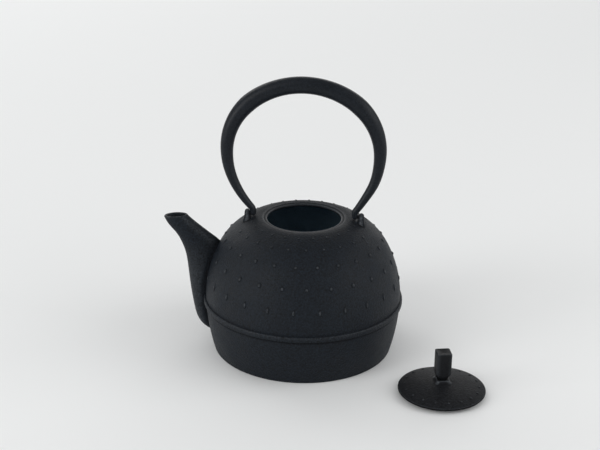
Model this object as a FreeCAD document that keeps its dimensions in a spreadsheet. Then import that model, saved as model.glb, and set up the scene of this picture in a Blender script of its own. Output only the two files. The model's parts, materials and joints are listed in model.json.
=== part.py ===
"""Cast-iron teapot with a swinging bail and a lift-off lid, in millimetres.

The origin is the middle of the base, +Z is up, the spout points along -X and the bail swings about X.
"""
import FreeCAD, Part
import Sketcher
import math
import os

SIZES = {
    # The pot's turned outside
    "pot_radius": 73.4,
    "pot_height": 102.8,
    "base_inset": 6.4,
    "base_round": 2.4,
    "waist_step": 0.5,
    "bowl_curve": 156.0,
    "rib_height": 38.25,
    "rib_half_height": 2.15,
    "rib_proud": 1.6,
    "rib_round": 1.2,
    "shoulder_turn": 29.3,
    "rim_slope": 16.0,
    "rim_width": 6.9,
    # The pot's inside
    "wall": 3.5,
    "floor_thickness": 4.0,
    "floor_round": 6.0,
    "mouth_radius": 27.4,
    # The spout's sections: how far each end stands out from the pot's side,
    # and its rise above the pot's top or above the rib
    "tip_upper_out": 13.5,
    "tip_upper_rise": -2.1,
    "tip_lower_out": 31.6,
    "tip_lower_rise": -3.3,
    "tip_half_width": 5.5,
    "beak_upper_out": 4.6,
    "beak_upper_rise": -9.6,
    "beak_lower_out": 21.7,
    "beak_lower_rise": -16.5,
    "beak_half_width": 6.2,
    "throat_upper_out": -7.4,
    "throat_upper_rise": -18.7,
    "throat_lower_out": 15.0,
    "throat_lower_rise": -32.5,
    "throat_half_width": 7.5,
    "belly_upper_out": -21.4,
    "belly_upper_rise": 23.75,
    "belly_lower_out": 12.8,
    "belly_lower_rise": 10.75,
    "belly_half_width": 9.0,
    "keel_upper_out": -21.4,
    "keel_upper_rise": -2.25,
    "keel_lower_out": 9.8,
    "keel_lower_rise": -9.75,
    "keel_half_width": 9.0,
    "root_upper_out": -17.4,
    "root_upper_rise": -24.25,
    "root_lower_out": -2.8,
    "root_lower_rise": -29.05,
    "root_half_width": 6.0,
    "spout_wall": 2.6,
    "lip_wall": 1.5,
    # The ears on the shoulder, which carry the bail so high
    # that its shank, swung down level, clears the rim's height by the pivot's rise.
    # Each is a drilled lug with a low lobe on the mouth's side, under the bail's hook
    "pivot_rise": 0.1,
    "ear_set_out": 5.9,
    "ear_thickness": 3.6,
    "ear_groove": 0.5,
    "ear_lobe_width": 2.2,
    "ear_lobe_drop": 0.3,
    "ear_crown_wall": 1.2,
    "ear_foot_half": 5.6,
    "ear_foot_drop": 5.8,
    # The bail
    "bail_rise": 99.0,
    "bail_half_width": 55.85,
    "bail_shoulder_in": 7.35,
    "bail_crown_flat": 13.5,
    "bail_neck_curve": 4.5,
    "bail_shank_gap": 0.8,
    "hook_bend": 2.2,
    "bail_thickness": 12.3,
    "bail_arm_thickness": 4.5,
    "bail_shank_thickness": 3.4,
    "hook_thickness": 2.8,
    "hook_proud": 0.8,
    "hook_clearance": 0.3,
    # The lid, which lies on the table beside the pot
    "lid_apart": 21.6,
    "lid_bearing": -33.5,
    "lid_overlap": 3.9,
    "lid_edge": 1.6,
    "lid_curve": 85.0,
    "lid_wall": 2.6,
    "lid_skirt_depth": 2.6,
    "lid_skirt_wall": 2.2,
    "lid_clearance": 0.5,
    # The knob, its square seat, and its stem through the lid
    "knob_turn": 11.4,
    "knob_width": 10.6,
    "knob_height": 20.4,
    "knob_edge_round": 1.6,
    "knob_top_round": 0.8,
    "knob_foot_rise": 3.2,
    "knob_neck_radius": 3.4,
    "knob_neck_height": 0.6,
    "seat_width": 10.2,
    "seat_top_width": 8.6,
    "seat_height": 1.8,
    "stem_radius": 2.0,
    "stem_clearance": 0.1,
    "stem_head_radius": 3.6,
    "stem_head_height": 1.4,
    "knob_play": 0.2,
}

doc = FreeCAD.newDocument("teapot")
sheet = doc.addObject("Spreadsheet::Sheet", "Sizes")
for row, (alias, number) in enumerate(SIZES.items(), start=1):
    sheet.set(f"A{row}", alias)
    sheet.set(f"B{row}", str(number))
    sheet.setAlias(f"B{row}", alias)
doc.recompute()


class Size:
    """A length or angle worked out from the sheet, with the formula that binds a feature to it."""

    def __init__(self, value, formula):
        self.value = value
        self.formula = formula

    def __add__(self, other):
        other = as_size(other)
        return Size(self.value + other.value, f"({self.formula} + {other.formula})")

    def __sub__(self, other):
        other = as_size(other)
        return Size(self.value - other.value, f"({self.formula} - {other.formula})")

    def __mul__(self, other):
        other = as_size(other)
        return Size(self.value * other.value, f"({self.formula} * {other.formula})")

    def __truediv__(self, other):
        other = as_size(other)
        return Size(self.value / other.value, f"({self.formula} / {other.formula})")

    def __neg__(self):
        return Size(-self.value, f"(-1 * {self.formula})")

    def __rmul__(self, other):
        return as_size(other) * self

    def __radd__(self, other):
        return as_size(other) + self

    def __rsub__(self, other):
        return as_size(other) - self


def as_size(number):
    """A plain number as a size."""
    return number if isinstance(number, Size) else Size(float(number), repr(float(number)))


def root(size):
    """The square root of a size."""
    return Size(math.sqrt(size.value), f"sqrt({size.formula})")


def sine(angle):
    return Size(math.sin(math.radians(angle.value)), f"sin({angle.formula})")


def cosine(angle):
    return Size(math.cos(math.radians(angle.value)), f"cos({angle.formula})")


def degrees(number):
    """A plain angle."""
    return Size(float(number), f"{float(number)} deg")


def lean(across, along):
    """The angle in degrees of a direction, where along is positive."""
    angle = math.degrees(math.atan(across.value / along.value))
    return Size(angle, f"atan({across.formula} / {along.formula})")


class Sheet:
    """The sheet's cells by name."""

    def __getattr__(self, alias):
        return Size(float(sheet.get(alias)), f"Sizes.{alias}")


size = Sheet()
ZERO = as_size(0)
START, END, MIDDLE = 1, 2, 3
ORIGIN = (-1, 1)
UPRIGHT, LEVEL = -2, -1


def new_body(label):
    body = doc.addObject("PartDesign::Body", label)
    body.Label = label
    return body


def new_sketch(body, name, role, base=(ZERO, ZERO, ZERO), turn=None):
    """A sketch on one of the body's own planes, moved by base and turned about the plane's Y axis."""
    plane = next(item for item in body.Origin.OriginFeatures if item.Role == role)
    sketch = body.newObject("Sketcher::SketchObject", name)
    sketch.AttachmentSupport = (plane, "")
    sketch.MapMode = "FlatFace"
    angle = turn.value if turn else 0.0
    place = FreeCAD.Vector(*(item.value for item in base))
    sketch.AttachmentOffset = FreeCAD.Placement(place, FreeCAD.Rotation(FreeCAD.Vector(0, 1, 0), angle))
    for axis, item in zip("xyz", base):
        if item is not ZERO:
            sketch.setExpression(f"AttachmentOffset.Base.{axis}", item.formula)
    if turn:
        sketch.setExpression("AttachmentOffset.Rotation.Angle", turn.formula)
    return sketch


def bind(sketch, kind, parts, amount, name):
    """Adds one measured constraint and ties it to the sheet."""
    sketch.addConstraint(Sketcher.Constraint(kind, *parts, amount.value))
    sketch.renameConstraint(sketch.ConstraintCount - 1, name)
    sketch.setExpression(f"Constraints.{name}", amount.formula)


def pin_point(sketch, curve, end, across, up, name):
    """Holds one end of a curve at a place in the sketch."""
    if across is ZERO:
        sketch.addConstraint(Sketcher.Constraint("PointOnObject", curve, end, UPRIGHT))
    else:
        bind(sketch, "DistanceX", (*ORIGIN, curve, end), across, f"{name}_across")
    if up is ZERO:
        sketch.addConstraint(Sketcher.Constraint("PointOnObject", curve, end, LEVEL))
    else:
        bind(sketch, "DistanceY", (*ORIGIN, curve, end), up, f"{name}_up")


def vector(across, up):
    return FreeCAD.Vector(across.value, up.value, 0)


def bowed(start, end, radius):
    """The arc from start to end, bowed to the right of that way, or to the left if radius < 0."""
    first = vector(*start)
    last = vector(*end)
    chord = last - first
    half = chord.Length / 2
    bend = abs(radius.value)
    rise = bend - math.sqrt(bend * bend - half * half)
    side = FreeCAD.Vector(chord.y, -chord.x, 0).normalize() * math.copysign(rise, radius.value)
    return Part.Arc(first, (first + last) * 0.5 + side, last)


def outline(sketch, corners, closed=True):
    """Joins corners, each (across, up, radius of the arc to the next or None), tied to the sheet."""
    count = len(corners) if closed else len(corners) - 1
    runs = []
    for index in range(count):
        here = corners[index]
        after = corners[(index + 1) % len(corners)]
        if here[2] is None:
            curve = sketch.addGeometry(Part.LineSegment(vector(*here[:2]), vector(*after[:2])))
            runs.append((curve, START, END))
            continue
        curve = sketch.addGeometry(bowed(here[:2], after[:2], here[2]))
        forwards = here[2].value > 0
        runs.append((curve, START, END) if forwards else (curve, END, START))
    for index, (curve, start, end) in enumerate(runs):
        if closed or index + 1 < count:
            after = runs[(index + 1) % count]
            sketch.addConstraint(Sketcher.Constraint("Coincident", curve, end, after[0], after[1]))
        pin_point(sketch, curve, start, corners[index][0], corners[index][1], f"corner_{index}")
        bow = corners[index][2]
        if bow is not None:
            bind(sketch, "Radius", (curve,), bow if bow.value > 0 else -bow, f"curve_{index}")
    if not closed:
        curve, start, end = runs[-1]
        pin_point(sketch, curve, end, corners[-1][0], corners[-1][1], f"corner_{count}")


def circle(sketch, across, up, radius):
    curve = sketch.addGeometry(Part.Circle(vector(across, up), FreeCAD.Vector(0, 0, 1), radius.value))
    pin_point(sketch, curve, MIDDLE, across, up, "middle")
    bind(sketch, "Radius", (curve,), radius, "radius")


def ellipse(sketch, half_long, half_wide):
    """An ellipse about the sketch's origin, long along its X axis."""
    shape = Part.Ellipse(vector(half_long, ZERO), vector(ZERO, half_wide), FreeCAD.Vector())
    curve = sketch.addGeometry(shape)
    sketch.exposeInternalGeometry(curve)
    long_axis, wide_axis = curve + 1, curve + 2
    sketch.addConstraint(Sketcher.Constraint("Coincident", curve, MIDDLE, *ORIGIN))
    sketch.addConstraint(Sketcher.Constraint("Horizontal", long_axis))
    bind(sketch, "Distance", (long_axis,), 2 * half_long, "long_axis")
    bind(sketch, "Distance", (wide_axis,), 2 * half_wide, "wide_axis")


def square(sketch, width):
    """A square about the sketch's origin."""
    half = width / 2
    outline(sketch, [(-half, -half, None), (half, -half, None), (half, half, None), (-half, half, None)])


def turned(body, kind, sketch, name):
    """A full turn of a sketch about its own upright axis, added (Revolution) or taken away (Groove)."""
    feature = body.newObject(f"PartDesign::{kind}", name)
    feature.Profile = sketch
    feature.ReferenceAxis = (sketch, ["V_Axis"])
    feature.Angle = 360
    doc.recompute()


def pad(body, sketch, length, name, kind="Pad", reverse=False):
    """A sketch carried straight through a length, added (Pad) or taken away (Pocket)."""
    feature = body.newObject(f"PartDesign::{kind}", name)
    feature.Profile = sketch
    feature.Reversed = reverse
    feature.Length = length.value
    feature.setExpression("Length", length.formula)
    doc.recompute()
    return feature


def loft(body, sketches, name, kind="AdditiveLoft"):
    """A smooth skin over several sketches, added or taken away."""
    feature = body.newObject(f"PartDesign::{kind}", name)
    feature.Profile = sketches[0]
    feature.Sections = sketches[1:]
    doc.recompute()


def fillet(body, base, edges, radius, name):
    """Rounds some of a feature's edges."""
    feature = body.newObject("PartDesign::Fillet", name)
    feature.Base = (base, edges)
    feature.Radius = radius.value
    feature.setExpression("Radius", radius.formula)
    doc.recompute()
    return feature


# The pot's turned outline, worked out from its radius and height
rib_top = size.rib_height + size.rib_half_height
rib_bottom = size.rib_height - size.rib_half_height
rib_radius = size.pot_radius + size.rib_proud
waist_radius = size.pot_radius - size.waist_step
base_radius = size.pot_radius - size.base_inset
rim_radius = size.mouth_radius + size.rim_width

# The dome is two arcs: the side's leaves the rib upright and turns inwards by the shoulder's angle,
# where the shoulder's takes over and turns on to the rim's slope. Both radii follow from the dome's size.
dome_across = size.pot_radius - rim_radius
dome_up = size.pot_height - rib_top
side_share = (1 - cosine(size.shoulder_turn), sine(size.shoulder_turn))
shoulder_share = (cosine(size.shoulder_turn) - sine(size.rim_slope),
                  cosine(size.rim_slope) - sine(size.shoulder_turn))
both_shares = side_share[0] * shoulder_share[1] - side_share[1] * shoulder_share[0]
side_curve = (dome_across * shoulder_share[1] - dome_up * shoulder_share[0]) / both_shares
shoulder_curve = (side_share[0] * dome_up - side_share[1] * dome_across) / both_shares
side_middle = (size.pot_radius - side_curve, rib_top)
shoulder_middle = (rim_radius - shoulder_curve * sine(size.rim_slope),
                   size.pot_height - shoulder_curve * cosine(size.rim_slope))


def dome_joint(inset):
    """Where the side's arc runs into the shoulder's arc, on the outside or moved in by an inset."""
    return (side_middle[0] + (side_curve - inset) * cosine(size.shoulder_turn),
            side_middle[1] + (side_curve - inset) * sine(size.shoulder_turn))


def pot_outside(body):
    sketch = new_sketch(body, "pot_outline", "XZ_Plane")
    outline(sketch, [
        (ZERO, ZERO, None),
        (base_radius - size.base_round, ZERO, size.base_round),
        (base_radius, size.base_round, size.bowl_curve),
        (waist_radius, rib_bottom, None),
        (rib_radius - size.rib_round, rib_bottom, size.rib_round),
        (rib_radius, rib_bottom + size.rib_round, None),
        (rib_radius, rib_top - size.rib_round, size.rib_round),
        (rib_radius - size.rib_round, rib_top, None),
        (size.pot_radius, rib_top, side_curve),
        (*dome_joint(ZERO), shoulder_curve),
        (rim_radius, size.pot_height, None),
        (ZERO, size.pot_height, None),
    ])
    turned(body, "Revolution", sketch, "pot_turned")


def pot_inside(body):
    """The hollow, a wall's thickness inside the outline, open at the mouth."""
    inner_base = base_radius - size.wall
    inner_shoulder = shoulder_curve - size.wall
    past_axis = size.mouth_radius - shoulder_middle[0]
    mouth_bottom = shoulder_middle[1] + root(inner_shoulder * inner_shoulder - past_axis * past_axis)
    above = size.pot_height + size.wall
    sketch = new_sketch(body, "hollow_outline", "XZ_Plane")
    outline(sketch, [
        (ZERO, size.floor_thickness, None),
        (inner_base - size.floor_round, size.floor_thickness, size.floor_round),
        (inner_base, size.floor_thickness + size.floor_round, size.bowl_curve - size.wall),
        (waist_radius - size.wall, rib_bottom, None),
        (size.pot_radius - size.wall, rib_top, side_curve - size.wall),
        (*dome_joint(size.wall), inner_shoulder),
        (size.mouth_radius, mouth_bottom, None),
        (size.mouth_radius, above, None),
        (ZERO, above, None),
    ])
    turned(body, "Groove", sketch, "pot_hollow")


SPOUT_LEVELS = {"root": size.rib_height, "keel": size.rib_height, "belly": size.rib_height,
                "throat": size.pot_height, "beak": size.pot_height, "tip": size.pot_height}


def spout_section(body, part, inset, name, lift=ZERO):
    """One ellipse of the spout, or of its bore at an inset, between the section's upper and lower end."""
    upper_x = -(size.pot_radius + getattr(size, f"{part}_upper_out"))
    lower_x = -(size.pot_radius + getattr(size, f"{part}_lower_out"))
    upper_z = SPOUT_LEVELS[part] + getattr(size, f"{part}_upper_rise")
    lower_z = SPOUT_LEVELS[part] + getattr(size, f"{part}_lower_rise")
    across = upper_x - lower_x
    up = upper_z - lower_z
    length = root(across * across + up * up)
    middle_x = (upper_x + lower_x) / 2 - lift * up / length
    middle_z = (upper_z + lower_z) / 2 + lift * across / length
    sketch = new_sketch(body, name, "XY_Plane", (middle_x, ZERO, middle_z), -lean(up, across))
    ellipse(sketch, length / 2 - inset, getattr(size, f"{part}_half_width") - inset)
    return sketch


def spout(body):
    loft(body, [spout_section(body, part, ZERO, f"spout_{part}") for part in SPOUT_LEVELS], "spout")


def spout_bore(body):
    """The spout's hollow, from the pot's own hollow to just past the lip."""
    insets = {"keel": size.spout_wall, "belly": size.spout_wall, "throat": size.spout_wall,
              "beak": (size.spout_wall + size.lip_wall) / 2, "tip": size.lip_wall}
    lifts = {"tip": size.lip_wall}
    sections = [spout_section(body, part, inset, f"bore_{part}", lifts.get(part, ZERO))
                for part, inset in insets.items()]
    loft(body, sections, "spout_bore", "SubtractiveLoft")


pivot_height = size.pot_height + size.pivot_rise + size.bail_shank_thickness / 2
ear_inner = rim_radius + size.ear_set_out
ear_hole_radius = size.hook_thickness / 2 + size.hook_clearance
ear_foot_height = size.pot_height - size.ear_foot_drop


def ear_outline(sketch):
    """A round-topped lug about the pivot, with straight sides down to its foot."""
    crown = ear_hole_radius + size.ear_crown_wall
    drop = pivot_height - ear_foot_height
    foot = size.ear_foot_half
    apart = root(foot * foot + drop * drop)
    share = crown / apart
    rest = root(1 - share * share)
    touch_across = crown * (foot * share + drop * rest) / apart
    touch_up = pivot_height + crown * (foot * rest - drop * share) / apart
    outline(sketch, [
        (-foot, ear_foot_height, None),
        (foot, ear_foot_height, None),
        (touch_across, touch_up, crown),
        (ZERO, pivot_height + crown, crown),
        (-touch_across, touch_up, None),
    ])


def lobe_outline(sketch):
    """A low arch from foot to foot, whose top stays under the bail's hook."""
    foot = size.ear_foot_half
    rise = size.ear_foot_drop - size.ear_lobe_drop
    curve = (foot * foot + rise * rise) / (2 * rise)
    outline(sketch, [
        (-foot, ear_foot_height, None),
        (foot, ear_foot_height, curve),
        (ZERO, ear_foot_height + rise, curve),
    ])


def ears(body):
    """A lug and a low lobe with a groove between them, on each side of the mouth."""
    lobe_inner = ear_inner - size.ear_groove - size.ear_lobe_width
    layers = (("ear", ear_inner, size.ear_thickness, ear_outline),
              ("lobe", lobe_inner, size.ear_lobe_width, lobe_outline))
    for side, name in ((1, "right"), (-1, "left")):
        for part, start, thickness, draw in layers:
            sketch = new_sketch(body, f"{name}_{part}_outline", "YZ_Plane", (ZERO, ZERO, start * side))
            draw(sketch)
            pad(body, sketch, thickness, f"{name}_{part}", reverse=side < 0)


def ear_holes(body):
    """The holes for the bail's hooks, from before each ear's inner face to past its outer face."""
    for side, name in ((1, "right"), (-1, "left")):
        offset = (ear_inner - size.hook_clearance) * side
        sketch = new_sketch(body, f"{name}_ear_hole_outline", "YZ_Plane", (ZERO, ZERO, offset))
        circle(sketch, ZERO, pivot_height, ear_hole_radius)
        length = size.ear_thickness + 2 * size.hook_clearance
        pad(body, sketch, length, f"{name}_ear_hole", "Pocket", reverse=side > 0)


def pot_body():
    body = new_body("pot_body")
    pot_outside(body)
    spout(body)
    ears(body)
    pot_inside(body)
    spout_bore(body)
    ear_holes(body)
    return body


# The bail's middle line, worked out so that it always runs from the crown into the ears' holes
bail_top = pivot_height + size.bail_rise
shank_reach = ear_inner - size.bail_shank_gap - size.bail_shank_thickness / 2
bail_shoulder_curve = size.bail_half_width - size.bail_shoulder_in
bail_crown_curve = bail_shoulder_curve + size.bail_crown_flat
crown_across = size.bail_shoulder_in / size.bail_crown_flat
crown_up = root(1 - crown_across * crown_across)
bail_shoulder_height = bail_top - bail_crown_curve + size.bail_crown_flat * crown_up
bend_height = pivot_height + size.hook_bend
neck_middle = shank_reach + size.bail_neck_curve
flank_across = neck_middle - size.bail_half_width
flank_drop = bail_shoulder_height - bend_height
flank_apart = flank_across * flank_across + flank_drop * flank_drop
flank_curve = ((flank_apart - size.bail_neck_curve * size.bail_neck_curve)
               / (2 * (size.bail_neck_curve - flank_across)))
flank_middle = size.bail_half_width - flank_curve
flank_share = flank_curve / (flank_curve + size.bail_neck_curve)
BAIL_CROWN = (ZERO, bail_top)
BAIL_SHOULDER = (bail_crown_curve * crown_across, bail_top - bail_crown_curve * (1 - crown_up))
BAIL_FLANK = (size.bail_half_width, bail_shoulder_height)
BAIL_NECK = (flank_middle + (neck_middle - flank_middle) * flank_share,
             bail_shoulder_height - flank_drop * flank_share)
BAIL_BEND = (shank_reach, bend_height)
BAIL_HOOK = (shank_reach + size.hook_bend, pivot_height)
BAIL_TIP = (ear_inner + size.ear_thickness + size.hook_proud, pivot_height)


def bail_section(body, place, thickness, name, turn):
    """A round section across the bail's middle line."""
    sketch = new_sketch(body, name, "XY_Plane", (place[0], ZERO, place[1]), turn)
    circle(sketch, ZERO, ZERO, thickness / 2)
    return sketch


def pipe(body, path, edges, sections, name):
    """A round bar along some of the path's edges, tapered from the first section to the last."""
    feature = body.newObject("PartDesign::AdditivePipe", name)
    feature.Profile = sections[0]
    feature.Spine = (path, edges)
    if len(sections) > 1:
        feature.Sections = sections[1:]
        feature.Transformation = "Multisection"
    doc.recompute()


def bail_handle():
    body = new_body("bail_handle")
    path = new_sketch(body, "bail_line", "XZ_Plane")
    outline(path, [(*BAIL_CROWN, -bail_crown_curve), (*BAIL_SHOULDER, -bail_shoulder_curve),
                   (*BAIL_FLANK, -flank_curve), (*BAIL_NECK, size.bail_neck_curve),
                   (*BAIL_BEND, size.hook_bend), (*BAIL_HOOK, None), (*BAIL_TIP, None)], closed=False)
    level = degrees(90)
    crown = bail_section(body, BAIL_CROWN, size.bail_thickness, "crown_section", level)
    shoulder = bail_section(body, BAIL_SHOULDER, size.bail_thickness, "shoulder_section",
                            level + lean(crown_across, crown_up))
    neck = bail_section(body, BAIL_NECK, size.bail_arm_thickness, "neck_section",
                        lean(flank_drop, neck_middle - flank_middle))
    shank = bail_section(body, BAIL_BEND, size.bail_shank_thickness, "shank_section", None)
    hook = bail_section(body, BAIL_HOOK, size.hook_thickness, "hook_section", level)
    pipe(body, path, ["Edge1"], [crown], "bail_crown")
    pipe(body, path, ["Edge2", "Edge3"], [shoulder, neck], "bail_arm")
    pipe(body, path, ["Edge4"], [neck, shank], "bail_neck")
    pipe(body, path, ["Edge5"], [shank, hook], "bail_bend")
    pipe(body, path, ["Edge6"], [hook], "bail_hook")
    half = [item for item in body.Group if item.TypeId == "PartDesign::AdditivePipe"]
    mirror = body.newObject("PartDesign::Mirrored", "bail_other_side")
    mirror.Originals = half
    mirror.MirrorPlane = (next(item for item in body.Origin.OriginFeatures if item.Role == "YZ_Plane"), [""])
    body.Tip = mirror
    doc.recompute()
    return body


# The lid and what it carries, in the lid's own place on the table
lid_radius = size.mouth_radius + size.lid_overlap
lid_rim_top = size.lid_skirt_depth + size.lid_edge
lid_middle = lid_rim_top - root(size.lid_curve * size.lid_curve - lid_radius * lid_radius)
seat_land = size.seat_width * root(as_size(0.5))
seat_level = lid_middle + root(size.lid_curve * size.lid_curve - seat_land * seat_land)
stem_hole_radius = size.stem_radius + size.stem_clearance
lid_distance = size.pot_radius + lid_radius + size.lid_apart
LID_PLACE = (lid_distance * cosine(size.lid_bearing), lid_distance * sine(size.lid_bearing))


def put_on_lid(body, height, turn=None):
    """Moves a body to the lid's place on the table, at a height, turned about the lid's axis."""
    angle = turn.value if turn else 0.0
    place = FreeCAD.Vector(LID_PLACE[0].value, LID_PLACE[1].value, height.value)
    body.Placement = FreeCAD.Placement(place, FreeCAD.Rotation(FreeCAD.Vector(0, 0, 1), angle))
    for axis, item in zip("xyz", (*LID_PLACE, height)):
        body.setExpression(f"Placement.Base.{axis}", item.formula)
    if turn:
        body.setExpression("Placement.Rotation.Angle", turn.formula)


def lid_plate():
    """A shallow cap with a thin rim, a skirt that drops into the mouth and a flat land for the seat."""
    body = new_body("lid_plate")
    skirt_outer = size.mouth_radius - size.lid_clearance
    skirt_inner = skirt_outer - size.lid_skirt_wall
    inner_curve = size.lid_curve - size.lid_wall
    roof_edge = lid_middle + root(inner_curve * inner_curve - skirt_inner * skirt_inner)
    land_bottom = seat_level - size.lid_wall
    land_reach = root(inner_curve * inner_curve - (land_bottom - lid_middle) * (land_bottom - lid_middle))
    sketch = new_sketch(body, "lid_outline", "XZ_Plane")
    outline(sketch, [
        (skirt_inner, ZERO, None),
        (skirt_outer, ZERO, None),
        (skirt_outer, size.lid_skirt_depth, None),
        (lid_radius, size.lid_skirt_depth, None),
        (lid_radius, lid_rim_top, size.lid_curve),
        (seat_land, seat_level, None),
        (stem_hole_radius, seat_level, None),
        (stem_hole_radius, land_bottom, None),
        (land_reach, land_bottom, -inner_curve),
        (skirt_inner, roof_edge, None),
    ])
    turned(body, "Revolution", sketch, "lid_turned")
    put_on_lid(body, ZERO)
    return body


def knob_seat():
    """A small square washer with sloping sides."""
    body = new_body("knob_seat")
    bottom = new_sketch(body, "seat_bottom", "XY_Plane")
    square(bottom, size.seat_width)
    top = new_sketch(body, "seat_top", "XY_Plane", (ZERO, ZERO, size.seat_height))
    square(top, size.seat_top_width)
    loft(body, [bottom, top], "seat_block")
    hole = new_sketch(body, "seat_hole_outline", "XY_Plane")
    circle(hole, ZERO, ZERO, stem_hole_radius)
    pad(body, hole, size.seat_height, "seat_hole", "Pocket", reverse=True)
    put_on_lid(body, seat_level, size.knob_turn)
    return body


def knob_block(body):
    """The square block, rounded along its upright edges and round its top."""
    sketch = new_sketch(body, "knob_square", "XY_Plane", (ZERO, ZERO, size.knob_neck_height))
    square(sketch, size.knob_width)
    block = pad(body, sketch, size.knob_height, "knob_block")
    upright = [f"Edge{index}" for index, edge in enumerate(block.Shape.Edges, start=1)
               if abs(edge.Vertexes[0].Z - edge.Vertexes[1].Z) > size.knob_height.value / 2]
    rounded = fillet(body, block, upright, size.knob_edge_round, "knob_edges")
    top = size.knob_neck_height + size.knob_height
    crown = [f"Edge{index}" for index, edge in enumerate(rounded.Shape.Edges, start=1)
             if min(vertex.Z for vertex in edge.Vertexes) > top.value - size.knob_top_round.value]
    fillet(body, rounded, crown, size.knob_top_round, "knob_top_edges")


def knob_foot(body):
    """Cuts the block's lower end to a round foot that runs in to the neck."""
    half = size.knob_width / 2
    corner = half * root(as_size(2)) + size.knob_top_round
    foot_top = size.knob_neck_height + size.knob_foot_rise
    run = half - size.knob_neck_radius
    foot_curve = (run * run + size.knob_foot_rise * size.knob_foot_rise) / (2 * run)
    sketch = new_sketch(body, "foot_outline", "XZ_Plane")
    outline(sketch, [
        (size.knob_neck_radius, size.knob_neck_height, foot_curve),
        (half, foot_top, None),
        (corner, foot_top + size.knob_foot_rise, None),
        (corner, size.knob_neck_height - size.knob_top_round, None),
        (size.knob_neck_radius, size.knob_neck_height - size.knob_top_round, None),
    ])
    turned(body, "Groove", sketch, "knob_foot")


def knob_stem(body):
    """The neck, the stem through seat and lid, and its upset head under the lid."""
    through = size.seat_height + size.lid_wall + size.knob_play
    sketch = new_sketch(body, "stem_outline", "XZ_Plane")
    outline(sketch, [
        (ZERO, -(through + size.knob_play + size.stem_head_height), None),
        (size.stem_radius, -(through + size.knob_play + size.stem_head_height), None),
        (size.stem_head_radius, -(through + size.knob_play), None),
        (size.stem_radius, -(through + size.knob_play), None),
        (size.stem_radius, ZERO, None),
        (size.knob_neck_radius, ZERO, None),
        (size.knob_neck_radius, size.knob_neck_height + size.knob_top_round, None),
        (ZERO, size.knob_neck_height + size.knob_top_round, None),
    ])
    turned(body, "Revolution", sketch, "knob_stem")


def lid_knob():
    body = new_body("lid_knob")
    knob_block(body)
    knob_foot(body)
    knob_stem(body)
    put_on_lid(body, seat_level + size.seat_height + size.knob_play, size.knob_turn)
    return body


bodies = [pot_body(), bail_handle(), lid_plate(), knob_seat(), lid_knob()]
doc.recompute()
for item in doc.Objects:
    if "Invalid" in item.State or "Error" in item.State:
        raise RuntimeError(f"{item.Name} failed: {item.State}")
for body in bodies:
    if body.Shape.isNull() or not body.Shape.isValid() or len(body.Shape.Solids) != 1:
        raise RuntimeError(f"{body.Label} isn't one sound solid")

os.makedirs("parts", exist_ok=True)
for body in bodies:
    body.Shape.exportStep(f"parts/{body.Label}.step")
    print(body.Label, round(body.Shape.Volume), body.Shape.BoundBox)
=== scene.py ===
# %% [markdown]
# # A cast-iron teapot with its lid off
# This lesson dresses a imported CAD teapot in Blender. The real one is poured in a sand mould: a squat
# bowl, a dome set with rows of small dots, a beak spout, and two ears that carry a forged bail.
# The CAD solids already hold the sizes and the joints. The surfaces here are worked out from the same
# few measures, and add what a casting has and a CAD solid lacks: soft edges, dots, wear and grain,
# with painted highlights and painted shade as well.

# %% Load the imported frame
import json
import bpy
import numpy as np
from mathutils import Matrix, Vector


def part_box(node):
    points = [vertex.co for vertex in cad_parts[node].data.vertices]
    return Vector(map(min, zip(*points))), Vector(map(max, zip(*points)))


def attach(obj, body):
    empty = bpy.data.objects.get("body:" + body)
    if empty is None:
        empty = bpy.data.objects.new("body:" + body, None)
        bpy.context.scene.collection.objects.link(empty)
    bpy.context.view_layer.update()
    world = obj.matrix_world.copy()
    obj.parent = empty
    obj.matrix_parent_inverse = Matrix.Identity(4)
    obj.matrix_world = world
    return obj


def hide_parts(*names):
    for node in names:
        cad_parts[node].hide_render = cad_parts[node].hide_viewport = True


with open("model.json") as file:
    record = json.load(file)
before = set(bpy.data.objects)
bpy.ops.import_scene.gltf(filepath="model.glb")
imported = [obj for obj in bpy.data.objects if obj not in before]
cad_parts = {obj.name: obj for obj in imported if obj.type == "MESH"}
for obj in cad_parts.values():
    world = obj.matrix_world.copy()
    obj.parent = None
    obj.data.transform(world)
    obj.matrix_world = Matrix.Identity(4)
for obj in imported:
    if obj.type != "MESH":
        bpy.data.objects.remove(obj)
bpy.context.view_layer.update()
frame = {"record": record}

MM = 0.001
joints = {joint["name"]: joint for joint in frame["record"]["behaviour"]["joints"]}

# %% [markdown]
# ## From grids to closed skins
# A turned pot, a bent bar and a spout are all the same thing to a mesh: rows of points, each row closed
# on itself. They could be spun, bevelled or sculpted, but a grid worked out with numpy keeps every size
# in one formula. Two endings are enough: a fan of triangles to a pole, or a last row that joins the first.

# %% Faces of a grid
def stacked(*parts):
    """Arrays or numbers, spread to one shape and set side by side along a new last axis."""
    return np.stack(np.broadcast_arrays(*parts), axis=-1)


def grid_faces(rows, columns, ring=False):
    """Quads between the rows of a grid of closed rows; ring joins the last row to the first."""
    row = np.arange(rows if ring else rows - 1)[:, None]
    column = np.arange(columns)[None, :]
    beside = (column + 1) % columns
    here, after = row * columns, (row + 1) % rows * columns
    return stacked(here + column, here + beside, after + beside, after + column).reshape(-1, 4)


def outward(points, faces):
    """Turns a skin's faces round if the volume they enclose, summed as signed tetrahedra, is negative."""
    volume = 0.0
    for group in faces:
        for second in range(1, group.shape[1] - 1):
            a, b, c = (points[group[:, corner]] for corner in (0, second, second + 1))
            volume += np.einsum("ij,ij->i", a, np.cross(b, c)).sum() / 6
    return faces if volume > 0 else [group[:, ::-1] for group in faces]


print("3 rows of 4 give", len(grid_faces(3, 4)), "faces, and as a ring", len(grid_faces(3, 4, ring=True)))
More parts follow.
